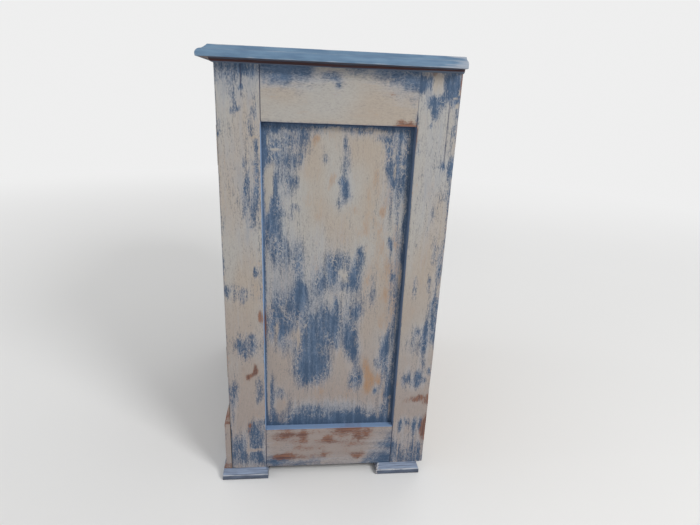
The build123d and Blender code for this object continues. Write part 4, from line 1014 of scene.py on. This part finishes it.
def topBoard():
    size, bottom = topSizes, cabinet["carcassTop"]
    outX, outY = cabinet["sideFace"] + size["sideOverhang"], cabinet["front"] - size["frontOverhang"]
    profile = list(size["lower"])
    profile += [(inset, height, 0.55 if n == 0 else 0.1 + 0.75 * (n > 6))
                for n, (inset, height) in enumerate(arc(*size["cove"]))]
    profile += [size["fillet"]]
    profile += [(inset, height, 0.05 + 0.5 * (n > 4))
                for n, (inset, height) in enumerate(arc(*size["round"]))]
    profile += size["upper"]
    levels = [(bottom + height, inset, inset, inset, 0.2 if height > 13.8 or height < 0.1 else 0.0, ridge)
              for inset, height, ridge in profile]

    def wear(points):
        side = np.minimum(outX - np.abs(points[:, 0]), points[:, 1] - outY)
        end = np.exp(-((points[:, 1] - cabinet["back"]) / 26.0) ** 2)
        end = end * swoop(points[:, 0] + 9 * swell(points, 14, 76), 200, 236)
        centre = 0.62 * swoop(side, 6, 70) * (0.45 + 0.55 * swell(points, (120, 60, 60), 77))
        ring = swoop(swell(points, (60, 30, 60), 78), 0.35, 0.8) * 0.6
        lip = np.where((points[:, 2] < bottom + 0.4) & (side > 3), 1.0, 0.0)
        face = np.where(points[:, 2] > bottom + size["thickness"] - 0.4, centre + ring, 0)
        return {"rubbed": np.clip(end * 0.8 + face, 0, 1), "bare": np.clip(end * 0.12 + ring * 0.2, 0, 1),
                "raw": lip}
    made = moulded("topBoard", (-outX, outY, 0), (outX, cabinet["back"], 1), levels, topPaint, ["top_board"],
                   (size["step"], size["step"]), wear, seed=15)
    # brushed along each moulded end, and along the board everywhere else
    made.data.materials.append(topFacePaint)
    for face in made.data.polygons:
        face.material_index = 0 if abs(face.center.x) > size["endGrain"] * mm else 1


footSizes = {
    "length": 69.0, "height": 14.0, "shoulder": 8.0, "sideOverhang": 9.5, "frontOverhang": 13.0,
    "backInset": 7.0, "endBevel": 4.0, "frontBevel": 1.0, "inset": 0.12, "step": 2.4,
    "block": ((0.0, 0.6, 0.4), (0.3, 0.15, 0.5), (0.8, 0.0, 0.3), (2.5, 0.0, 0.0), (5.0, 0.0, 0.0),
              (7.0, 0.0, 0.4)),
    "slope": ((0.0, 1.0), (0.06, 0.9), (0.16, 0.5), (0.35, 0.1), (0.6, 0.0), (0.85, 0.0), (1.0, 0.2)),
    "seeds": {"rightfront": 21, "rightback": 24, "leftfront": 27, "leftback": 30},
}


def foot(side, end):
    size = footSizes
    sign = 1 if side == "right" else -1
    outer, shoulder = cabinet["sideFace"] + size["sideOverhang"], size["shoulder"]
    x0, x1 = sorted((sign * outer, sign * (outer - size["length"])))
    if end == "front":
        y0 = cabinet["front"] - size["frontOverhang"]
        y1 = y0 + size["length"]
        bevels = (size["frontBevel"], size["endBevel"])
    else:
        y1 = cabinet["back"] - size["backInset"]
        y0 = y1 - size["length"]
        bevels = (size["endBevel"], size["endBevel"])
    wide = (size["endBevel"], size["sideOverhang"]) if sign > 0 else (size["sideOverhang"], size["endBevel"])
    levels = [(height, inset, inset, inset, inset, ridge) for height, inset, ridge in size["block"]]
    for share, ridge in size["slope"]:
        height = shoulder - 0.4 + share * (size["height"] - shoulder + 0.4)
        height = min(height, size["height"] - (0.02 if share < 1 else 0.0))
        levels.append((height, *(size["inset"] + bevel * share for bevel in wide + bevels), ridge))
    seed = size["seeds"][side + end]

    def wear(points):
        patch = swoop(swell(points, (9, 14, 6), seed + 3), 0.3, 0.8)
        chip = swoop(swell(points, (6, 8, 5), seed + 4), 0.55, 0.95)
        backEnd = np.exp(-((points[:, 1] - y0) / 9.0) ** 2) * (end == "back")
        return {"rubbed": patch * 0.5 + backEnd * 0.3, "bare": np.clip(chip * 0.5 + backEnd * 0.35, 0, 1),
                "raw": np.where(points[:, 2] < 0.02, 1.0, 0.0)}

    # the upward slope, which takes the painted highlight
    def slope(points):
        return swoop(points[:, 2], shoulder - 1.0, shoulder + 0.3)

    moulded(side + end.capitalize() + "Foot", (x0, y0, 0), (x1, y1, 1), levels, footPaint,
            [side + "_" + end + "_foot"], (size["step"], size["step"]), wear, ragged=0.5, seed=seed,
            ledge=slope)


# The plinth board stands proud at its foot, runs straight up and slopes back to its top edge.
plinthSizes = {
    "proud": 8.0, "faceTop": 82.0, "topEdge": 1.0, "flare": 4.0, "flareTop": 18.0, "height": 113.0,
    "step": (3.2, 2.4),
}


def plinth():
    size = plinthSizes
    base, front, outX = cabinet["base"], cabinet["front"], cabinet["sideFace"]
    flare, flareTop, faceTop, height = size["flare"], size["flareTop"], size["faceTop"], size["height"]
    proudest = size["proud"] + flare
    profile = [(0.5, 0.0, 0.5), (0.12, 0.25, 0.6), (0.0, 0.7, 0.5)]
    for z in np.linspace(1.5, flareTop, 10):
        share = 1 - (z / flareTop)
        profile.append((flare * (1 - share * share * 0.9 - share * 0.1), z, 0.0))
    profile += [(flare, z, 0.0) for z in np.linspace(flareTop + 2.6, faceTop - 2.2, 24)]
    profile += [(flare + 0.05, faceTop - 0.9, 0.7), (flare + 0.35, faceTop + 0.3, 1.0),
                (flare + 0.9, faceTop + 2.2, 0.8)]
    for share in np.linspace(0.16, 0.96, 10):
        profile.append((flare + share * (size["proud"] - size["topEdge"]) + 0.1,
                        faceTop + share * (height - faceTop), 0.0))
    profile += [(proudest - size["topEdge"] + 0.15, height - 0.3, 0.7),
                (proudest - size["topEdge"] + 0.4, height, 0.5)]
    levels = [(base + z, 0.0, 0.0, inset, 0.0, ridge) for inset, z, ridge in profile]
    rows, chips = looseDabs(2 * outX, base, base + height, 33, 46)
    rows += [(120, 22, 90, 8, 0.8), (330, 20, 110, 7, 0.8), (230, 70, 30, 12, 0.6), (40, 60, 22, 30, 0.7),
             (430, 66, 20, 26, 0.7)]
    chips += [(458, 112, 3, 13, 0.7), (2, 108, 3, 14, 0.7), (458, 16, 3, 5, 0.7)]
    read = marksFrom(lambda points: points[:, 0] + outX, 35, rows, bare=chips)

    def wear(points):
        made = read(points)
        onEnd = np.abs(points[:, 0]) > outX - 0.8
        for key, share in (("rubbed", 0.3), ("haze", 0.6)):
            made[key] = np.where(onEnd, made[key] * share, made[key])
        return made

    moulded("plinthBoard", (-outX, front - proudest, 0), (outX, front, 1), levels, crossPaint,
            ["plinth_board"], size["step"], wear, raw=("y+",), ragged=0.3, seed=36)


# Half the outline of a turned knob, as (radius, how far it stands out): a collar, a neck and a mushroom head.
knobSizes = {
    "across": 22.0, "height": 344.0, "length": 26.0, "turns": 72, "gap": 0.3,
    "outline": ((0.0, 0.0), (5.0, 0.0), (7.5, 0.05), (7.95, 0.45), (8.0, 1.2), (7.9, 2.1), (7.3, 2.6),
                (6.6, 3.1), (6.25, 4.4), (6.05, 6.2), (6.1, 7.9), (6.7, 10.0), (8.3, 12.6), (10.4, 15.0),
                (12.0, 16.9), (12.45, 18.1), (12.3, 19.4), (11.4, 21.4), (9.6, 23.4), (7.0, 24.95),
                (4.0, 25.75), (1.6, 25.98), (0.0, 26.0)),
}


# A smooth line through every point of an outline, with two more points between each pair.
def smoothed(outline):
    def between(a, b, c, d, t):
        slope, bow, twist = c - a, 2 * a - 5 * b + 4 * c - d, 3 * b - a - 3 * c + d
        return 0.5 * (2 * b + slope * t + bow * t * t + twist * t ** 3)

    ends = [outline[0], *outline, outline[-1]]
    return [tuple(between(*values, t) for values in zip(*four))
            for four in zip(ends, ends[1:], ends[2:], ends[3:]) for t in (0.0, 0.34, 0.67)]


def knob(side):
    size, turns = knobSizes, knobSizes["turns"]
    sign = 1 if side == "right" else -1
    rings = np.array([(max(radius, 0.02), max(min(out, size["length"]), 0.0))
                      for radius, out in smoothed(size["outline"])[1:]])
    # the right knob turns, so it keeps a hair's breadth off its door
    start = cabinet["front"] - (size["gap"] if sign > 0 else 0.0)
    angle = np.linspace(0, 2 * math.pi, turns, endpoint=False)
    # fine rings left by the turning tool
    radius = rings[:, 0][:, None] * (1 - 0.004 * (1 + np.sin(rings[:, 1] * 5.2))[:, None])
    middle = (sign * size["across"], start, size["height"])
    points = np.stack([radius * np.cos(angle) + middle[0], start - rings[:, 1][:, None] + 0 * radius * angle,
                       radius * np.sin(angle) + middle[2]], -1).reshape(-1, 3)
    points = np.concatenate([points, np.array([middle, (middle[0], start - size["length"], middle[2])])])
    count = len(rings)
    index = np.arange(count * turns).reshape(count, turns)
    after = np.roll(index, -1, axis=1)
    faces = np.stack([index[:-1], after[:-1], after[1:], index[1:]], -1).reshape(-1, 4).tolist()
    faces += [(int(after[0, i]), int(index[0, i]), count * turns) for i in range(turns)]
    faces += [(int(index[-1, i]), int(after[-1, i]), count * turns + 1) for i in range(turns)]
    out = np.concatenate([np.repeat(rings[:, 1], turns), [0, size["length"]]])
    rim, collar = np.exp(-((out - 18) / 2.6) ** 2), np.exp(-((out - 1.6) / 1.2) ** 2)
    marks = {"arris": np.maximum(rim, collar * 0.8) * (0.75 + 0.25 * swell(points, 6, 91 + sign)),
             "bare": np.clip(swell(points, 5, 95 + sign) * 0.4, 0, 1)}
    piece(side + "KnobTurned", points, faces, marks, knobPaint, "right_latch" if sign > 0 else "left_door",
          [side + "_knob"])


# The shelf, the floor, the rail over the doors and the back boards. "Top" heights are those of upper faces.
inside = {
    "floorTop": 127.0, "floorBoard": 16.0, "shelfTop": 363.0, "shelfBoard": 14.0, "shelfFront": 40.0,
    "backBoards": 3, "backBoard": 7.0, "backHalfWidth": 219.2, "backGap": 0.8, "shelfPlay": 0.5,
    "plankStep": (8.0, 6.0, 3.0), "backStep": (6.0, 3.0, 8.0), "railStep": (3.2, 3.0, 2.6),
}
boardPitch = (2 * inside["backHalfWidth"] + inside["backGap"]) / inside["backBoards"]


def insideBoards():
    front, innerX, backFace = cabinet["front"], cabinet["innerFace"], cabinet["back"] - inside["backBoard"]
    shelfEnd, stock = innerX - inside["shelfPlay"], cabinet["stock"]
    shelfTop, floorTop = inside["shelfTop"], inside["floorTop"]
    openingTop, carcassTop = cabinet["openingTop"], cabinet["carcassTop"]
    board("shelfPlank", (-shelfEnd, front + inside["shelfFront"], shelfTop - inside["shelfBoard"]),
          (shelfEnd, backFace - inside["shelfPlay"], shelfTop), pineAcross, "cabinet", ["shelf"],
          worn=pairs(("y-", "z+"), ("y-", "z-")), step=inside["plankStep"], ease=0.4, wornEase=2.2,
          ripple=0.2, seed=81)
    board("floorPlank", (-innerX, front + stock, floorTop - inside["floorBoard"]),
          (innerX, backFace, floorTop), pineAcross, "cabinet", ["floor_board"], step=inside["plankStep"],
          ease=0.3, ripple=0.2, seed=84)
    rows, chips = looseDabs(2 * innerX, openingTop, carcassTop, 51, 30)
    marks = marksFrom(lambda points: points[:, 0] + innerX, 52, rows, bare=chips)
    board("frontTopRail", (-innerX, front, openingTop), (innerX, front + stock, carcassTop), crossPaint,
          "cabinet", ["front_top_rail"], marks, worn=pairs(("z-", "y-")),
          seams=pairs(("x-", "y-"), ("x+", "y-")), raw=("y+", "z+"), step=inside["railStep"], wornEase=1.1,
          seed=53)
    for index in range(inside["backBoards"]):
        left = -inside["backHalfWidth"] + index * boardPitch
        board("backBoard%d" % (index + 1), (left, backFace, cabinet["base"]),
              (left + boardPitch - inside["backGap"], cabinet["back"], carcassTop), backPine, "cabinet",
              ["back_board_%d" % (index + 1)], step=inside["backStep"], ease=0.7, ripple=0.25,
              seed=70 + index)


stage("side frames")
sideFrame("right")
sideFrame("left")
stage("doors")
door("right")
door("left")
stage("top, plinth, feet and knobs")
topBoard()
plinth()
for sideName in ("right", "left"):
    for endName in ("front", "back"):
        foot(sideName, endName)
    knob(sideName)
stage("rails and boards inside")
insideBoards()


# Screws and nails: one head and shank each, set at every hole by a small tree of nodes.
fixings = {
    "screwHead": 4.0, "screwShank": 2.0, "screwLength": 28.0, "screwTurns": 20,
    "smallHead": 2.7, "smallShank": 1.4, "smallLength": 12.0,
    "nailHead": 2.0, "nailShank": 0.9, "nailLength": 24.0, "nailTurns": 14,
    "slotWidth": 0.8, "slotDepth": 0.7, "threadPitch": 1.5, "threadRoot": 0.82,
}


# Rings of corners for a profile of (radius, height), with faces between them. `lead` turns every ring.
def turned(profile, turns, lead=0.0):
    made = bmesh.new()
    rings = []
    for radius, height in profile:
        angles = [2 * math.pi * i / turns + lead for i in range(turns)]
        rings.append([made.verts.new((radius * math.cos(a), radius * math.sin(a), height)) for a in angles])
    for lower, upper in zip(rings, rings[1:]):
        for i in range(turns):
            made.faces.new((lower[i], lower[(i + 1) % turns], upper[(i + 1) % turns], upper[i]))
    return made, rings


def turnedMesh(name, made):
    bmesh.ops.recalc_face_normals(made, faces=made.faces)
    mesh = bpy.data.meshes.new(name)
    made.to_mesh(mesh)
    made.free()
    mesh.polygons.foreach_set("use_smooth", [True] * len(mesh.polygons))
    return mesh


def fixingShape(name, made):
    bmesh.ops.scale(made, vec=(mm, mm, mm), verts=made.verts)
    mesh = turnedMesh(name, made)
    mesh.set_sharp_from_angle(angle=math.radians(32))
    return bpy.data.objects.new(name, mesh)


# A countersunk screw pointing up z, with its slot cut across a slightly domed head.
def screwShape(name, head, shank, length):
    profile = [(head * 0.97, 0.0), (head, 0.12), (head * 0.96, 0.3), (shank, head - shank + 0.1)]
    z, root = head - shank + 0.6, shank * fixings["threadRoot"]
    while z < length - 3.2:
        profile += [(root, z), (shank, z + 0.35), (root, z + 0.7)]
        z += fixings["threadPitch"]
    profile += [(shank * 0.75, length - 2.6), (shank * 0.3, length - 0.8), (0.06, length)]
    made, rings = turned(profile, fixings["screwTurns"], math.pi / fixings["screwTurns"])
    made.faces.new(rings[-1])
    # the head: a slot between two flat cheeks
    half, deep = fixings["slotWidth"] / 2, fixings["slotDepth"]
    cheeks = []
    for sign in (1, -1):
        rim = [corner for corner in rings[0] if corner.co.y * sign > 0]
        rim.sort(key=lambda corner: corner.co.x)
        left, right = rim[0], rim[-1]
        lip = [made.verts.new((end.co.x, sign * half, 0)) for end in (left, right)]
        sole = [made.verts.new((end.co.x * 0.98, sign * half, deep)) for end in (left, right)]
        made.faces.new(lip + rim[::-1])
        made.faces.new([lip[0], sole[0], sole[1], lip[1]])
        cheeks.append((left, right, lip, sole))
    (leftTop, rightTop, lipTop, soleTop), (leftLow, rightLow, lipLow, soleLow) = cheeks
    made.faces.new([soleTop[0], soleLow[0], soleLow[1], soleTop[1]])
    made.faces.new([leftTop, lipTop[0], soleTop[0], soleLow[0], lipLow[0], leftLow])
    made.faces.new([rightTop, rightLow, lipLow[1], soleLow[1], soleTop[1], lipTop[1]])
    return fixingShape(name, made)


def nailShape(name):
    head, shank, length = fixings["nailHead"], fixings["nailShank"], fixings["nailLength"]
    profile = [(0.03, 0.0), (head * 0.7, 0.02), (head * 0.95, 0.16), (head, 0.35), (head * 0.9, 0.8),
               (shank, 0.85), (shank, length - 2), (0.05, length)]
    made, rings = turned(profile, fixings["nailTurns"])
    made.faces.new(rings[0])
    made.faces.new(rings[-1])
    return fixingShape(name, made)


# Sets a shape at every point, turned to face its heading, each with its own twist.
def fixingTree():
    tree = bpy.data.node_groups.new("setFixings", "GeometryNodeTree")
    face = tree.interface
    for title, kind in (("Places", "Geometry"), ("Fixing", "Object"), ("Size", "Float"),
                        ("Finish", "Material"), ("Twist Seed", "Int")):
        face.new_socket(title, in_out="INPUT", socket_type="NodeSocket" + kind)
    face.new_socket("Fixings", in_out="OUTPUT", socket_type="NodeSocketGeometry")
    given, result = tree.nodes.new("NodeGroupInput"), tree.nodes.new("NodeGroupOutput")
    ask = {socket.name: Wire(socket) for socket in given.outputs if socket.name}
    heading = put(tree, "GeometryNodeInputNamedAttribute", {"data_type": "FLOAT_VECTOR"}, {"Name": "heading"})
    shape = put(tree, "GeometryNodeObjectInfo", {}, {"Object": ask["Fixing"]}, out="Geometry")
    facing = put(tree, "FunctionNodeAlignRotationToVector", {"axis": "Z"}, {"Vector": heading})
    twist = put(tree, "FunctionNodeRandomValue", {"data_type": "FLOAT"},
                {2: 0.0, 3: math.pi, "Seed": ask["Twist Seed"]}, out=1)
    spin = put(tree, "FunctionNodeAxisAngleToRotation", {}, {"Axis": (0, 0, 1), "Angle": twist})
    way = put(tree, "FunctionNodeRotateRotation", {"rotation_space": "LOCAL"}, {0: facing, 1: spin})
    values = {"Points": ask["Places"], "Instance": shape, "Rotation": way, "Scale": ask["Size"]}
    everyOne = put(tree, "GeometryNodeInstanceOnPoints", {}, values)
    real = put(tree, "GeometryNodeRealizeInstances", {}, {"Geometry": everyOne})
    done = put(tree, "GeometryNodeSetMaterial", {}, {"Geometry": real, "Material": ask["Finish"]})
    tree.links.new(done.socket, result.inputs[0])
    return tree


def setFixings(name, rows, shape, finishMaterial, body, stands, seed):
    # rows: ((x, y, z), (heading)) in millimetres
    mesh = bpy.data.meshes.new(name + "Places")
    mesh.from_pydata([tuple(v * mm for v in at) for at, way in rows], [], [])
    layer = mesh.attributes.new("heading", "FLOAT_VECTOR", "POINT")
    layer.data.foreach_set("vector", [v for at, way in rows for v in way])
    carrier = bpy.data.objects.new(name + "Places", mesh)
    bpy.context.scene.collection.objects.link(carrier)
    modifier = carrier.modifiers.new("fixings", "NODES")
    modifier.node_group = setTree
    wanted = {"Fixing": shape, "Size": 1.0, "Finish": finishMaterial, "Twist Seed": seed}
    for item in setTree.interface.items_tree:
        if item.in_out == "INPUT" and item.name in wanted:
            modifier[item.identifier] = wanted[item.name]
    bpy.context.view_layer.update()
    graph = bpy.context.evaluated_depsgraph_get()
    plain = bpy.data.meshes.new_from_object(carrier.evaluated_get(graph), depsgraph=graph)
    carrier.modifiers.remove(modifier)
    plain.name = name
    plain.materials.clear()
    plain.materials.append(finishMaterial)
    plain.polygons.foreach_set("material_index", [0] * len(plain.polygons))
    if "heading" in plain.attributes:
        plain.attributes.remove(plain.attributes["heading"])
    made = bpy.data.objects.new(name, plain)
    bpy.context.scene.collection.objects.link(made)
    bpy.data.objects.remove(carrier)
    finish(made, body, stands)


# Where the screws and nails go. Insets are from the nearest face of the piece that they go into.
fixingPlaces = {
    "cleatEnd": 38.0, "cleatMiddle": 95.0, "cleatStock": 18.0, "railShares": (-0.7, 0.25, 0.7),
    "railInset": 34.0, "railUp": 8.0,
    "footX": 220.0, "footFront": 28.0, "footNear": 10.0, "footShare": 0.7, "backFootShares": (0.2, 0.5),
    "leafInset": 9.0, "leafMiddleInset": 12.0, "leafFace": 1.6,
    "boltX": 22.0, "boltSide": 6.5, "boltThick": 1.5, "boltTop": 18.0, "boltLength": 64.0, "boltShare": 0.32,
    "boardShares": (0.25, 0.75), "boardTop": 30.0, "boardFoot": 8.0,
    "plinthX": (-161.0, -55.2, 55.2, 161.0), "plinthShare": 0.6,
}


def cleatScrews():
    spot = fixingPlaces
    front, back, innerX = cabinet["front"], cabinet["back"], cabinet["innerFace"]
    deep = spot["cleatStock"]
    rows = []
    for level, upright in ((inside["floorTop"] - inside["floorBoard"], True),
                           (inside["shelfTop"] - inside["shelfBoard"], False), (cabinet["carcassTop"], True)):
        for sign in (-1, 1):
            for y in (front + spot["cleatEnd"], back - spot["cleatEnd"]):
                rows.append(((sign * (innerX - deep), y, level - deep / 2), (sign, 0, 0)))
            if upright:
                for y in (front + spot["cleatMiddle"], back - spot["cleatMiddle"]):
                    rows.append(((sign * (innerX - deep / 2), y, level - deep), (0, 0, 1)))
    y, z = front + spot["railInset"], cabinet["openingTop"] + spot["railUp"]
    rows += [((innerX * share, y, z), (0, -1, 0)) for share in spot["railShares"]]
    return rows


def footScrews():
    spot, size = fixingPlaces, footSizes
    front, back = cabinet["front"], cabinet["back"]
    outer, length = cabinet["sideFace"] + size["sideOverhang"], size["length"]
    rows = []
    for sign in (-1, 1):
        places = [(spot["footX"], front + spot["footFront"]),
                  (outer - length * spot["footShare"], front + spot["footNear"])]
        places += [(spot["footX"], back - size["backInset"] - length * share)
                   for share in spot["backFootShares"]]
        rows += [((sign * x, y, 0), (0, 0, 1)) for x, y in places]
    return rows


# Three screws in each hinge leaf, going outwards into the frame or inwards into the door.
def leafScrews(sign, x, way):
    rows = []
    for level in hingeLevels:
        for step in (-1, 0, 1):
            inset = fixingPlaces["leafInset"] if step else fixingPlaces["leafMiddleInset"]
            y, z = cabinet["front"] + inset, level + step * hinge["pitch"]
            rows.append(((sign * x, y, z), (sign * way, 0, 0)))
    return rows


def boltScrews():
    spot = fixingPlaces
    top = cabinet["openingTop"] - spot["boltTop"]
    fromEnd = spot["boltLength"] * spot["boltShare"]
    face = cabinet["front"] + doorSizes["stock"] + spot["boltThick"]
    return [((-spot["boltX"] + side * spot["boltSide"], face, z), (0, -1, 0))
            for side in (-1, 1) for z in (top - spot["boltLength"] + fromEnd, top - fromEnd)]


def nails():
    spot, rows = fixingPlaces, []
    for index in range(inside["backBoards"]):
        for share in spot["boardShares"]:
            x = -inside["backHalfWidth"] + (index + share) * boardPitch
            for z in (cabinet["carcassTop"] - spot["boardTop"], inside["floorTop"] - spot["boardFoot"]):
                rows.append(((x, cabinet["back"], z), (0, -1, 0)))
    height = cabinet["base"] + plinthSizes["faceTop"] * spot["plinthShare"]
    rows += [((x, cabinet["front"] - plinthSizes["proud"], height), (0, 1, 0)) for x in spot["plinthX"]]
    return rows


stage("screws and nails")
setTree = fixingTree()
woodScrew = screwShape("woodScrew", fixings["screwHead"], fixings["screwShank"], fixings["screwLength"])
smallScrew = screwShape("smallScrew", fixings["smallHead"], fixings["smallShank"], fixings["smallLength"])
wireNail = nailShape("wireNail")
shapes = (woodScrew, smallScrew, wireNail)
for fixing in shapes:
    bpy.context.scene.collection.objects.link(fixing)
frameFace, doorFace = cabinet["innerFace"], cabinet["innerFace"] - fixingPlaces["leafFace"]
knobScrew = [((-knobSizes["across"], cabinet["front"] + doorSizes["stock"], knobSizes["height"]), (0, -1, 0))]
frameRows = leafScrews(-1, frameFace, 1) + leafScrews(1, frameFace, 1)
leftRows, rightRows = leafScrews(-1, doorFace, -1) + boltScrews(), leafScrews(1, doorFace, -1)
setFixings("cleatScrewSet", cleatScrews(), woodScrew, latchSteel, "cabinet", ["cleat_screws"], 1)
setFixings("footScrewSet", footScrews(), woodScrew, latchSteel, "cabinet", ["foot_screws"], 2)
setFixings("hingeFrameScrewSet", frameRows, smallScrew, hingeIron, "cabinet", ["hinge_frame_screws"], 3)
setFixings("leftDoorScrewSet", leftRows, smallScrew, hingeIron, "left_door", ["left_door_screws"], 4)
setFixings("rightDoorScrewSet", rightRows, smallScrew, hingeIron, "right_door", ["right_door_screws"], 5)
setFixings("leftKnobScrewSet", knobScrew, woodScrew, latchSteel, "left_door", ["left_knob_screw"], 6)
setFixings("nailSet", nails(), wireNail, hingeIron, "cabinet", ["nails"], 7)
for fixing in shapes:
    bpy.data.objects.remove(fixing)


def dress(finishMaterial, *names):
    for name in names:
        mesh = node[name].data
        mesh.materials.clear()
        mesh.materials.append(finishMaterial)


stage("plain joinery and ironwork")
dress(redWood, "front_moulding", "left_moulding", "right_moulding")
dress(pineAcross, "front_bottom_rail", "back_rail", "door_stop")
dress(pineDeep, "floor_cleats", "shelf_cleats", "top_cleats")
dress(hingeIron, "hinge_pins", "left_hinge_frame_leaves", "right_hinge_frame_leaves",
      "left_door_hinge_leaves", "right_door_hinge_leaves")
dress(latchSteel, "bolt_plate", "bolt_rod", "latch_spindle", "latch_tongue")


# The studio is in metres. A lamp is (place, what it points at, size, power).
studio = {
    "cameraAt": (0.85568, -0.03641, 0.56771), "lens": 25.174, "film": 36.0, "turn": (-6.34, -18.93, -2.44),
    "sky": 0.56, "pale": (0.86, 0.86, 0.86, 1.0), "fade": (0.8, 3.0),
    "floorDark": (0.80, 0.80, 0.795), "floorLight": (0.84, 0.84, 0.835), "floorTurns": 48,
    "floorRings": (0.01, 1.2, 2.6, 4.2, 6.5, 10.0, 16.0, 30.0),
    "lamps": {
        "keyLamp": ((1.9, 1.5, 2.0), (0.2, 0.0, 0.35), 0.9, 43.0),
        "fillLamp": ((-0.4, -2.7, 1.4), (0.0, 0.0, 0.3), 2.2, 15.0),
        "backLamp": ((-2.2, 1.4, 1.5), (0.0, 0.0, 0.3), 2.0, 11.0),
    },
}


def looked(tree):
    # 1 for a ray that shows the background, 0 for one that only lights
    rays = tree.nodes.new("ShaderNodeLightPath").outputs
    seen, mirrored = Wire(rays["Is Camera Ray"]), Wire(rays["Is Glossy Ray"])
    return seen.most(mirrored).most(Wire(rays["Is Transmission Ray"]))


def floorSweep():
    sheet, rings = turned([(reach, 0.0) for reach in studio["floorRings"]], studio["floorTurns"])
    sheet.faces.new(rings[0][::-1])
    mesh = turnedMesh("floorSweep", sheet)
    if mesh.polygons[0].normal.z < 0:
        mesh.flip_normals()
    material, tree = newMaterial("paleFloor", 0.2)
    cloud = noise(tree, place(tree), (900, 900, 900), 2.0, 0.5, 2.0)
    feed(tree, "Base Color", blend(tree, cloud, studio["floorDark"], studio["floorLight"]))
    feed(tree, "Roughness", 0.9)
    # far from the cabinet the floor fades into the sky, so no horizon shows
    away = put(tree, "ShaderNodeVectorMath", {"operation": "LENGTH"}, {0: place(tree)}, out=1)
    glow = put(tree, "ShaderNodeEmission", {}, {"Color": studio["pale"], "Strength": 1.0})
    floorPaint = Wire(tree.nodes["Principled BSDF"].outputs[0])
    share = away.between(*studio["fade"]) * looked(tree)
    both = put(tree, "ShaderNodeMixShader", {}, {0: share, 1: floorPaint, 2: glow})
    tree.links.new(both.socket, tree.nodes["Material Output"].inputs["Surface"])
    mesh.materials.append(material)
    made = bpy.data.objects.new("floorSweep", mesh)
    bpy.context.scene.collection.objects.link(made)


def areaLamp(name, at, aim, size, power):
    lamp = bpy.data.lights.new(name, "AREA")
    lamp.shape, lamp.size, lamp.energy = "DISK", size, power
    made = bpy.data.objects.new(name, lamp)
    made.location = at
    made.rotation_euler = (Vector(aim) - Vector(at)).to_track_quat("-Z", "Y").to_euler()
    bpy.context.scene.collection.objects.link(made)


def sky():
    world = bpy.data.worlds.new("paleSky")
    world.use_nodes = True
    tree = world.node_tree
    tree.nodes.clear()
    light = put(tree, "ShaderNodeBackground", {}, {"Color": (1, 1, 1, 1), "Strength": studio["sky"]})
    pale = put(tree, "ShaderNodeBackground", {}, {"Color": studio["pale"], "Strength": 1.0})
    both = put(tree, "ShaderNodeMixShader", {}, {0: looked(tree), 1: light, 2: pale})
    out = tree.nodes.new("ShaderNodeOutputWorld")
    tree.links.new(both.socket, out.inputs["Surface"])
    bpy.context.scene.world = world


def camera():
    lens = bpy.data.cameras.new("view")
    lens.lens, lens.sensor_width = studio["lens"], studio["film"]
    lens.clip_start, lens.clip_end = 0.02, 100
    made = bpy.data.objects.new("view", lens)
    quarter = math.radians(90)
    yaw, pitch, roll = (math.radians(angle) for angle in studio["turn"])
    turn = (Matrix.Rotation(quarter, 4, "Z") @ Matrix.Rotation(yaw, 4, "Z") @ Matrix.Rotation(pitch, 4, "X")
            @ Matrix.Rotation(roll, 4, "Y") @ Matrix.Rotation(quarter, 4, "X"))
    made.matrix_world = Matrix.Translation(studio["cameraAt"]) @ turn
    bpy.context.scene.collection.objects.link(made)
    bpy.context.scene.camera = made


stage("studio")
floorSweep()
sky()
for lampName, (lampAt, lampAim, lampSize, lampPower) in studio["lamps"].items():
    areaLamp(lampName, lampAt, lampAim, lampSize, lampPower)
camera()
bpy.context.scene.view_settings.view_transform = "Standard"
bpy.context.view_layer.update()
stage("done")
